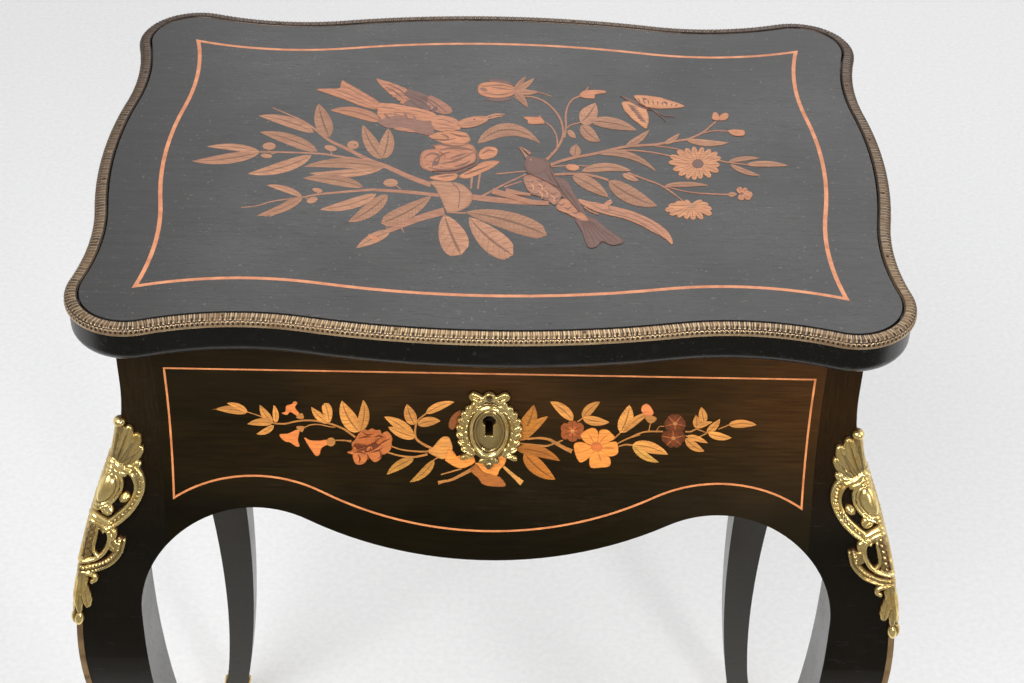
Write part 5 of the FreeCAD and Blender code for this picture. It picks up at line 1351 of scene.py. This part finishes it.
def round_the_corner(chart, height):
    """Chart points (across the leg's edge, level) on the front right knee: round the edge, then flat."""
    across, level = chart[:, 0], chart[:, 1]
    out = swell(level)
    reach = np.maximum(np.abs(across) - CORNER_BEND, 0)
    turn = np.pi / 4 * (1 + np.clip(across / CORNER_BEND, -1, 1))
    x = HALF_LENGTH + out + height * np.sin(turn) - np.where(across < 0, reach, 0)
    y = -HALF_DEPTH - out - height * np.cos(turn) + np.where(across > 0, reach, 0)
    return np.column_stack([x, y, level])


def knee_relief():
    """The knee mount: a plume, a jewel in a rim, two big scrolls, an open loop and hanging husks."""
    across = np.arange(-29, 29 + MOUNT_CELL / 2, MOUNT_CELL)
    levels = np.arange(503, 657, MOUNT_CELL)
    relief = Relief(across, levels)
    # The plume and the knob at its top
    relief.leaf((0, 615), (0, 652), 7.5, 2.2, 0.2, 5, "drop")
    for relief.side in (-1, 1):
        relief.leaf((3, 617), (7.6, 649.0), 4.8, 2.6, 0.5, 5, "drop", 0.8)
        relief.leaf((6, 617), (13.6, 643.5), 4.8, 2.4, 0.5, 4, "drop", 1.0)
        relief.leaf((8, 617), (17.0, 634.5), 4.2, 2.2, 0.5, 3, "drop", 1.0)
        relief.leaf((11, 616), (18.0, 624.0), 3.0, 2.6, 0.4, 2, "drop", 1.2)
        for x, top in ((2, 644), (6, 643), (10.5, 638), (14, 630)):
            relief.flute([(x * 0.45, 622), (x, top)], 0.55, 0.9)
    relief.oval((0, 651.5), 5.0, 3.0, 3.6)
    # The collar and the jewel in its double rim
    relief.cord([(-13, 617.5), (-6, 620.5), (0, 624.5), (6, 620.5), (13, 617.5)], 1.5, 1.5, 3.6)
    relief.cord([(-11, 615), (-5, 617.5), (0, 620.5), (5, 617.5), (11, 615)], 1.0, 1.0, 3.0)
    relief.oval((0, 605.5), 12.0, 13.0, 1.5, 0.25)
    relief.ring((0, 605.5), 11.2, 12.2, 0.85, 3.2)
    relief.ring((0, 605.5), 9.0, 10.4, 0.8, 2.9)
    relief.oval((0, 605.5), 7.8, 9.2, 4.0, 0.45)
    # The big scrolls with their volutes, rims and beads. They were drawn wider than they are.
    spine = [(8.6, 615.5), (10.5, 618.8), (14.5, 618.4), (20, 614.5), (24.2, 608), (25.2, 601),
             (22.8, 593.5), (18, 587.5), (12.5, 583), (8, 580)]
    outer = [(10, 620.4), (15.5, 620.6), (22, 616), (26.6, 608.5), (27.6, 600.5), (25, 592),
             (19.6, 585.2), (13.5, 580.6), (9, 578.2)]
    inner = [(11.6, 616.6), (14, 616.2), (18, 612.8), (21.6, 607.2), (22.6, 601), (20.4, 594.8),
             (16.2, 589.6), (11.4, 585.4), (7.4, 582.4)]
    spine, outer, inner = ([(10 + (x - 10) * 0.84, z) for x, z in line] for line in (spine, outer, inner))
    for relief.side in (-1, 1):
        relief.band(spine, 2.6, 2.6, 1.5)
        relief.cord(outer, 0.8, 0.9, 3.1, 1.05)
        relief.cord(inner, 0.8, 0.8, 2.9, 0.95)
        relief.beads(outer[1:], 34, 0.85, 3.6)
        relief.beads(spine[2:], 19, 1.0, 2.5)
        relief.oval((9.4, 616.4), 2.4, 2.4, 3.8)
        # The ball in the scroll's window
        relief.oval((15.4, 600), 2.3, 2.3, 3.4)
        relief.ring((15.4, 600), 2.4, 2.4, 0.6, 2.2)
        # Leaf curl under the jewel, and the second collar
        relief.leaf((1.5, 597), (10.5, 590), 3.4, 3.2, 0.4, 2, "drop", 0.8)
        relief.cord([(0, 589.2), (5, 586.6), (10.5, 583.8)], 1.7, 1.5, 3.9)
        relief.cord([(0, 585.4), (5, 583.2), (9.6, 580.6)], 1.2, 1.0, 3.2)
        # The open loop, its scales, its leafy side and the beaded edge below it
        relief.band([(2.2, 583), (2.6, 572), (3.4, 562), (4, 556)], 2.6, 2.4, 1.2)
        relief.cord([(4.6, 583), (5.4, 574), (6.0, 565), (9.6, 560.6)], 0.75, 0.8, 2.8)
        relief.cord([(9, 581), (13, 576.5), (14.4, 570), (13, 563.5), (9.6, 559.6), (5, 557.6), (0, 556.6)],
                    1.3, 1.2, 3.3)
        relief.leaf((9, 583), (17.5, 573.5), 3.0, 3.0, 0.4, 3, "drop", 0.6)
        relief.leaf((13, 574), (20.5, 564), 3.8, 2.2, 0.5, 3, "drop", 0.4)
        relief.band([(20.5, 571), (21, 564), (17.4, 557.6), (11, 553.4), (4, 551.2), (0, 550.8)],
                    2.4, 2.2, 1.2)
        relief.beads([(20.8, 571), (20.8, 564), (17.2, 558), (11, 554), (4, 551.9), (0, 551.5)],
                     17, 1.05, 2.7)
        relief.cord([(23.6, 572), (23.8, 563.5), (19.2, 555.2), (12, 550.6), (4.4, 548.4), (0, 548)],
                    0.7, 0.7, 2.4, 0.8)
        # Husk, its curl, hanging leaves and the double bud
        relief.leaf((2.5, 549), (3.0, 531), 4.0, 2.9, 0.45, 3, "leaf", 0.6)
        relief.cord([(5, 548), (9.4, 546.4), (11.2, 543.4), (9.0, 541.6)], 1.3, 1.1, 3.0)
        relief.leaf((4, 541), (8.6, 521.5), 3.2, 2.8, 0.5, 4, "petal", 0.5)
        relief.leaf((1.5, 533), (3.4, 514.5), 2.8, 2.6, 0.45, 4, "leaf", 0.4)
        relief.oval((2.9, 511), 2.9, 5.4, 3.3)
    relief.leaf((0, 548), (0, 518), 2.8, 3.2, 0.3, 5)
    x, level = np.abs(relief.grid[..., 0]), relief.grid[..., 1]
    rows = np.sin((level - 556) * np.pi / 2.1) * np.cos(x * np.pi / 2.4)
    relief.height = relief.height + 0.45 * rows * ((x < 4.4) & (level > 557.5) & (level < 583))
    relief.open(2.1 - np.hypot(x - 8.8, (level - 569) / 2.6))
    return relief


def knee_mounts():
    """The same relief on the four knees, shortened a little about its middle and mirrored as the legs are."""
    relief = knee_relief()
    relief.grid[..., 1] = MOUNT_MIDDLE + (relief.grid[..., 1] - MOUNT_MIDDLE) * MOUNT_SHARE
    relief.cell[1] *= MOUNT_SHARE
    points, faces, depth = relief.surface(round_the_corner)
    for corner, (side, front) in CORNERS.items():
        turned = faces if side * front < 0 else faces[:, ::-1]
        gild("knee_mount_relief_" + corner, "knee_mount_" + corner, points * (side, front, 1), turned, depth)


knee_mounts()


# The escutcheon: an oval plate in a laurel, with a bow above and a small lug below

PLATE_LEVEL = 648.0
KEY_EYE = (7.0, 3.9)
KEY_SLOT = (-3.1, 2.2)
PLATE_CELL = 0.5
LAUREL_RADII = np.array([16.4, 20.6])


def on_the_front(chart, height):
    """Chart points (across, level above the plate's middle) on the swelling front."""
    level = PLATE_LEVEL + chart[:, 1]
    return np.column_stack([chart[:, 0], -HALF_DEPTH - swell(level) - height, level])


def laurel(relief):
    """One side of the laurel: full leaves in pairs along a stem round the oval, and a curl at its foot."""
    for turn in np.linspace(-0.88, 1.0, 9):
        root = LAUREL_RADII * (np.cos(turn), np.sin(turn))
        ahead = LAUREL_RADII * (-np.sin(turn), np.cos(turn))
        ahead /= np.linalg.norm(ahead)
        out = np.array([ahead[1], -ahead[0]])
        relief.leaf(root - 2.4 * ahead, root + 2.8 * ahead + 2.8 * out, 2.1, 3.0, 0.55, 0, "petal", 0.4)
        relief.leaf(root - 2.4 * ahead, root + 3.0 * ahead - 2.2 * out, 1.9, 2.6, 0.55, 0, "petal", 0.3)
    relief.leaf((10.5, -16.6), (17.4, -19.4), 1.9, 2.2, 0.3, 0, "petal", 0.4)


def escutcheon_relief():
    """The escutcheon's rims, laurel, bow and lug, pierced by the keyhole."""
    relief = Relief(np.arange(-22.5, 22.6, PLATE_CELL), np.arange(-27, 30.6, PLATE_CELL))
    relief.oval((0, 0), 15.0, 20.5, 0.8, 0.15)
    relief.oval((0, 0), 8.2, 13.4, 1.5, 0.25)
    for relief.side in (-1, 1):
        laurel(relief)
        relief.cord([(2.5, 23.4), (6.5, 25.6), (9.6, 27.0), (11.0, 24.6), (7.0, 22.4)], 1.5, 1.3, 2.3, 1.9)
        relief.leaf((1.5, 22), (9.5, 20.2), 1.9, 2.0, 0.3, 0, "petal", 0.3)
        relief.leaf((0, -19.5), (6.2, -21.6), 1.8, 1.8, 0.3, 0, "petal", 0.3)
    relief.ring((0, 0), 13.3, 19.4, 0.8, 1.2)
    relief.ring((0, 0), 10.9, 17.0, 1.35, 2.5)
    relief.ring((0, 0), 8.6, 13.9, 0.7, 1.6)
    relief.ring((0, 25.2), 2.6, 2.6, 1.2, 2.4)
    relief.oval((0, 24.2), 1.6, 1.6, 2.2)
    relief.oval((0, -22.9), 3.1, 3.1, 1.7, 0.3)
    relief.oval((0, -22.9), 1.5, 1.5, 2.5)
    x, level = relief.grid[..., 0], relief.grid[..., 1]
    eye = KEY_EYE[1] - np.hypot(x, level - KEY_EYE[0])
    slot = np.minimum(KEY_SLOT[1] - np.abs(x), np.minimum(level - KEY_SLOT[0], KEY_EYE[0] - level))
    hole = np.maximum(eye, slot)
    relief.height = np.maximum(relief.height, 1.5 * np.exp(-(((hole + 0.9) / 0.55) ** 2)) * (hole < 0.2))
    relief.open(hole)
    return relief


gild("escutcheon_relief", "escutcheon", *escutcheon_relief().surface(on_the_front, sheet=1.1), 0.6)


# The gilt shoes. A shoe's chart runs once round the foot, which is square with rounded corners.

SHOE_TOP = 38.0
SHOE_SIDE = 5.0
SHOE_CELL = 0.6
SHOE_BEND = 2.4
SHOE_GAP = 0.6
FLAT_SHARE = 0.86


def round_the_foot(chart, height):
    """Chart points (share of the way round, level) on a rounded square that stands off the foot."""
    share, level = chart[:, 0], chart[:, 1]
    outer, inner = swell(level), out_at(INNER, level)
    middle = (outer + inner) / 2
    side = np.floor(share)
    part = (share - side) * 2 - 1
    reach = (outer - inner) / 2 + SHOE_GAP + height - SHOE_BEND
    turn = np.pi / 4 * np.clip((np.abs(part) - FLAT_SHARE) / (1 - FLAT_SHARE), 0, 1) * np.sign(part)
    x = np.clip(part / FLAT_SHARE, -1, 1) * reach + SHOE_BEND * np.sin(turn)
    y = reach + SHOE_BEND * np.cos(turn)
    spin = side * np.pi / 2
    across = x * np.cos(spin) + y * np.sin(spin)
    along = y * np.cos(spin) - x * np.sin(spin)
    return np.column_stack([HALF_LENGTH + middle + across, -HALF_DEPTH - middle + along, level])


def shoe_relief():
    """A leaf up each face and a taller one up each corner, with a moulded foot below."""
    levels = np.arange(0.4, SHOE_TOP + 0.01, SHOE_CELL)
    relief = Relief(np.linspace(0, 4, 161) * SHOE_SIDE, levels)
    for side in range(4):
        middle = (side + 0.5) * SHOE_SIDE
        relief.leaf((middle, 6), (middle, 31.5), 2.3, 1.5, 0.5, 6, "petal")
    for corner in range(5):
        relief.leaf((corner * SHOE_SIDE, 6), (corner * SHOE_SIDE, 37), 1.9, 1.7, 0.3, 7, "petal")
    relief.lay(12.0 - np.abs(relief.grid[..., 1] - 2), np.full(relief.height.shape, 0.2))
    for level, half, high in ((2.2, 2.2, 1.5), (6.2, 1.0, 1.2), (8.6, 0.8, 0.9)):
        gap = np.abs(relief.grid[..., 1] - level)
        relief.lay(half - gap, high * dome(gap / half))
    relief.grid[..., 0] /= SHOE_SIDE
    return relief


def shoes():
    """The four shoes, mirrored as the legs are."""
    relief = shoe_relief()
    slope = np.gradient(relief.inside, axis=1) / SHOE_CELL
    pull = np.clip(-relief.inside / np.maximum(np.abs(slope), 0.4), 0, 0.8) * np.sign(slope)
    outside = relief.inside <= 0
    chart = relief.grid.copy()
    chart[..., 1] += np.where(outside, pull, 0.0)
    height = np.where(outside, -0.9, 0.5 + relief.height)
    rows, columns = outside.shape
    faces = grid_faces(rows - 1, columns, ring=True)
    flat = outside[:-1].ravel()
    used, faces = compact(faces[(~flat)[faces].any(axis=-1)], flat.size)
    points = round_the_foot(chart[:-1].reshape(-1, 2), height[:-1].ravel())[used]
    # The depth sets how much grime and painted shade each point of the shoe takes.
    depth = np.where(outside, 0.0, 0.3 + 0.4 * relief.height)[:-1].ravel()[used]
    for corner, (side, front) in CORNERS.items():
        turned = faces if side * front > 0 else faces[:, ::-1]
        gild("sabot_relief_" + corner, "sabot_" + corner, points * (side, front, 1), turned, depth)


shoes()


# Stamped brass strip round the lid

STRIP_REPEAT = 5.8
CORNER_RADIUS = 38.0
HOLLOW_LONG = (142.0, 187.0)
HOLLOW_SHORT = (92.0, 178.0)
CORNER_MIDDLE = (LID_HALF_LENGTH - 2 - CORNER_RADIUS, LID_HALF_DEPTH - 2.5 - CORNER_RADIUS)
STRIP_BEND = 3.4
STRIP_CELL = 0.55
STAMPING = 0.55


def lid_arcs():
    """The arcs of a quarter of the lid's outline, from the middle of its right side to that of its back."""
    corner_x, corner_y = CORNER_MIDDLE
    long_x, long_radius = HOLLOW_LONG
    short_y, short_radius = HOLLOW_SHORT
    long_y = corner_y + np.sqrt((long_radius + CORNER_RADIUS) ** 2 - (corner_x - long_x) ** 2)
    reach = LID_HALF_DEPTH + long_radius
    bulge_y = (reach**2 - long_x**2 - long_y**2) / (2 * (reach - long_y))
    short_x = corner_x + np.sqrt((short_radius + CORNER_RADIUS) ** 2 - (corner_y - short_y) ** 2)
    reach = LID_HALF_LENGTH + short_radius
    bulge_x = (reach**2 - short_y**2 - short_x**2) / (2 * (reach - short_x))
    return [
        (bulge_x, 0, LID_HALF_LENGTH - bulge_x, 1),
        (short_x, short_y, short_radius, -1),
        (corner_x, corner_y, CORNER_RADIUS, 1),
        (long_x, long_y, long_radius, -1),
        (0, bulge_y, LID_HALF_DEPTH - bulge_y, 1),
    ]


def lid_quarter(spacing):
    """A quarter of the outline: points, the way outwards, and the distance along it."""
    arcs = lid_arcs()
    joins = [(LID_HALF_LENGTH, 0)]
    for first, second in zip(arcs, arcs[1:]):
        share = first[2] / (first[2] + second[2])
        joins.append((first[0] + (second[0] - first[0]) * share, first[1] + (second[1] - first[1]) * share))
    joins.append((0, LID_HALF_DEPTH))
    centres, angles, sides, radii = [], [], [], []
    for (x, y, radius, side), start, end in zip(arcs, joins, joins[1:]):
        first, last = np.arctan2(start[1] - y, start[0] - x), np.arctan2(end[1] - y, end[0] - x)
        turn = (last - first + np.pi) % (2 * np.pi) - np.pi
        count = max(2, int(abs(turn) * radius / spacing))
        angles.append(first + turn * np.arange(count) / count)
        centres.append(np.tile([x, y], (count, 1)))
        sides.append(np.full(count, side))
        radii.append(np.full(count, radius))
    angles.append([np.pi / 2])
    centres.append([[0, arcs[-1][1]]])
    sides.append([1])
    radii.append([arcs[-1][2]])
    angle, centre, side, radius = (np.concatenate(part) for part in (angles, centres, sides, radii))
    normal = np.column_stack([np.cos(angle), np.sin(angle)]) * side[:, None]
    points = centre + normal * (side * radius)[:, None]
    along = np.concatenate([[0], np.cumsum(np.linalg.norm(np.diff(points, axis=0), axis=-1))])
    return points, normal, along


def strip_section():
    """The strip's outer skin from its inner edge over the top and down its face, as inset and level."""
    top, bottom = LID_TOP + 0.35, LID_TOP - 4.9
    turn = np.linspace(np.pi / 2, 0, 17)
    bend = np.column_stack([2.6 - STRIP_BEND * np.cos(turn), top + STRIP_BEND * (np.sin(turn) - 1)])
    flat = np.column_stack([np.array([6.9, 6.6, 6.0, 5.4, 4.8, 4.2, 3.4]), np.full(7, top)])
    flat[0, 1] = LID_TOP - 0.6
    flat[1, 1] = LID_TOP + 0.2
    face = np.array([[-0.8, LID_TOP - 3.6], [-0.8, LID_TOP - 4.2], [-0.95, LID_TOP - 4.5], [-0.8, bottom]])
    back = np.array([[1.5, bottom], [6.9, LID_TOP - 1.5]])
    return np.vstack([flat, bend, face, back])


def strip_relief(along, across):
    """The stamped pattern: upright ribs in pairs with darts between, scallops below, and a plain rim."""
    x = (along / STRIP_REPEAT) % 1.0 - 0.5
    rise = np.clip((across - 0.03) / 0.06, 0, 1) * np.clip((0.68 - across) / 0.06, 0, 1)
    ribs = np.maximum(np.exp(-(((np.abs(x) - 0.27) / 0.10) ** 2)), 0.7 * np.exp(-((x / 0.06) ** 2))) * rise
    fade = np.clip((0.50 - across) / 0.1, 0, 1) * (across > 0.04)
    dart = 0.8 * np.exp(-(((np.abs(x) - 0.5) / 0.055) ** 2)) * fade
    half = (2 * x + 0.5) % 1.0 - 0.5
    bow = np.hypot(half / 0.42, (across - 0.93) / 0.22)
    scallop = np.exp(-(((bow - 1) / 0.26) ** 2)) * (across > 0.69) * (across < 0.94)
    return np.maximum.reduce([ribs, dart, scallop, 0.9 * (across > 0.95) + 0 * x])


def lid_strips():
    """Four lengths of stamped strip, each carried along a quarter of the lid's outline."""
    points, normal, along = lid_quarter(STRIP_CELL)
    section = strip_section()
    skin = len(section) - 2
    measure = np.concatenate([[0], np.cumsum(np.linalg.norm(np.diff(section[:skin], axis=0), axis=-1))])
    across = np.clip((measure - 0.8) / (measure[-1] - 1.7), 0, 1)
    stamped = (across > 0) & (across < 1)
    pattern = strip_relief(along[:, None], across[None, :]) * stamped
    push = np.zeros((len(points), len(section)))
    push[:, :skin] = STAMPING * (pattern - 0.5) * stamped
    slope = np.gradient(section[:skin], axis=0)
    outward = np.zeros_like(section)
    outward[:skin] = np.column_stack([slope[:, 1], -slope[:, 0]])
    outward[:skin] /= np.linalg.norm(outward[:skin], axis=-1, keepdims=True)
    place = section + push[..., None] * outward
    flat = points[:, None] - normal[:, None] * place[..., :1]
    grid = np.concatenate([flat, place[..., 1:]], axis=-1)
    # The depth sets how much grime and painted shade each point of the stamping takes.
    depth = np.full(push.shape, 0.55)
    depth[:, :skin] = np.where(stamped, 0.10 + 0.70 * pattern, 0.7)
    index = np.arange(push.size).reshape(push.shape)
    index = np.hstack([index, index[:, :1]])
    corners = [index[:-1, :-1], index[:-1, 1:], index[1:, 1:], index[1:, :-1]]
    faces = np.stack(corners, axis=-1).reshape(-1, 4).tolist()
    faces += [index[0, :-1].tolist(), index[-1, :-1][::-1].tolist()]
    for corner, (side, front) in CORNERS.items():
        turned = faces if side * front > 0 else [face[::-1] for face in faces]
        mirrored = grid.reshape(-1, 3) * (side, -front, 1)
        piece = place_mesh("stamped_strip_" + corner, mirrored, turned, "lid", STAMPED,
                           cavity_tint(depth.ravel()))
        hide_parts("lid_moulding_" + corner)


lid_strips()


# The floor, the light and the camera


def plain_floor():
    """A pale floor with a faint woven texture, as bright far off as near the lamps. Reflections see it dark
    further out on the keyhole side."""
    finish = Finish("pale_floor", (0.84, 0.84, 0.84), 0.9, 0.0, 0.2)
    weave = finish.noise(180.0, detail=4.0)
    pale = finish.mix(finish.span(weave, 0.3, 0.7), (0.79, 0.79, 0.79), (0.85, 0.85, 0.85))
    x, y, z = finish.axes()
    path = finish.node("LightPath").outputs
    shaded = finish.times(path["Is Glossy Ray"], finish.span(y, -0.34, -0.60))
    finish.give("Base Color", finish.mix(shaded, pale, (0.07, 0.065, 0.06)))
    away = finish.math("SQRT", finish.plus(finish.times(x, x), finish.times(y, y)))
    mirrored = finish.larger(path["Is Transmission Ray"],
                             finish.math("SUBTRACT", path["Is Glossy Ray"], shaded))
    seen = finish.times(finish.span(away, 1.9, 4.8), finish.larger(path["Is Camera Ray"], mirrored))
    finish.give("Emission Color", (0.8, 0.8, 0.8, 1.0))
    finish.give("Emission Strength", finish.times(seen, 0.22))
    mesh = bpy.data.meshes.new("floor")
    reach = 7.0
    corners = [(-reach, -reach, 0), (reach, -reach, 0), (reach, reach, 0), (-reach, reach, 0)]
    mesh.from_pydata(corners, [], [(0, 1, 2, 3)])
    floor = bpy.data.objects.new("floor", mesh)
    mesh.materials.append(finish.material)
    bpy.context.collection.objects.link(floor)


def stand(name, data, axes, place):
    """A lamp or a camera at a place in metres, whose own x, y and z point along three axes."""
    made = bpy.data.objects.new(name, data)
    bpy.context.collection.objects.link(made)
    rows = [(*row, shift) for row, shift in zip(np.column_stack(axes), place)]
    made.matrix_world = Matrix(rows + [(0, 0, 0, 1)])
    return made


def lamp(name, place, target, size, power):
    """A soft rectangular lamp that faces a point."""
    light = bpy.data.lights.new(name, "AREA")
    light.shape = "RECTANGLE"
    light.size, light.size_y = size
    light.energy = power
    away = np.asarray(place, float) - np.asarray(target, float)
    back = away / np.linalg.norm(away)
    across = np.cross((0, 0, 1), back)
    across /= np.linalg.norm(across)
    stand(name, light, [across, np.cross(back, across), back], place)


def room_light(tree):
    """An even pale room, that reflections see dark on the keyhole side."""
    room = Nodes(tree)
    background = tree.nodes["Background"]
    x, y, z = room.axes("Generated")
    glossy = room.node("LightPath").outputs["Is Glossy Ray"]
    shaded = room.times(glossy, room.span(y, -0.05, -0.6))
    room.join(background.inputs["Strength"], 0.75)
    room.join(background.inputs["Color"], room.mix(shaded, (0.80, 0.80, 0.805), (0.09, 0.085, 0.08)))


def light_and_camera():
    """A plain bright world, four soft lamps and the camera of the photograph."""
    plain_floor()
    world = bpy.data.worlds.new("world")
    world.use_nodes = True
    room_light(world.node_tree)
    bpy.context.scene.world = world
    lamp("lamp_glint", (0.9, -1.8, 1.3), (0, 0, 0.6), (0.35, 0.35), 12)
    lamp("lamp_front", (-0.9, -1.6, 2.3), (0, 0, 0.6), (1.6, 1.2), 40)
    lamp("lamp_back", (0.78, 2.27, 2.9), (0, 0, 0.7), (3.4, 1.8), 26)
    lamp("lamp_right", (1.9, -0.4, 1.6), (0, 0, 0.6), (1.2, 1.4), 10)
    lens = bpy.data.cameras.new("camera")
    lens.sensor_width = SENSOR
    lens.lens = FOCUS / FRAME_WIDTH * SENSOR
    lens.clip_start = 0.05
    scene = bpy.context.scene
    scene.camera = stand("camera", lens, [RIGHT, UP, -AHEAD], EYE * MM)
    scene.view_settings.view_transform = "Standard"


light_and_camera()
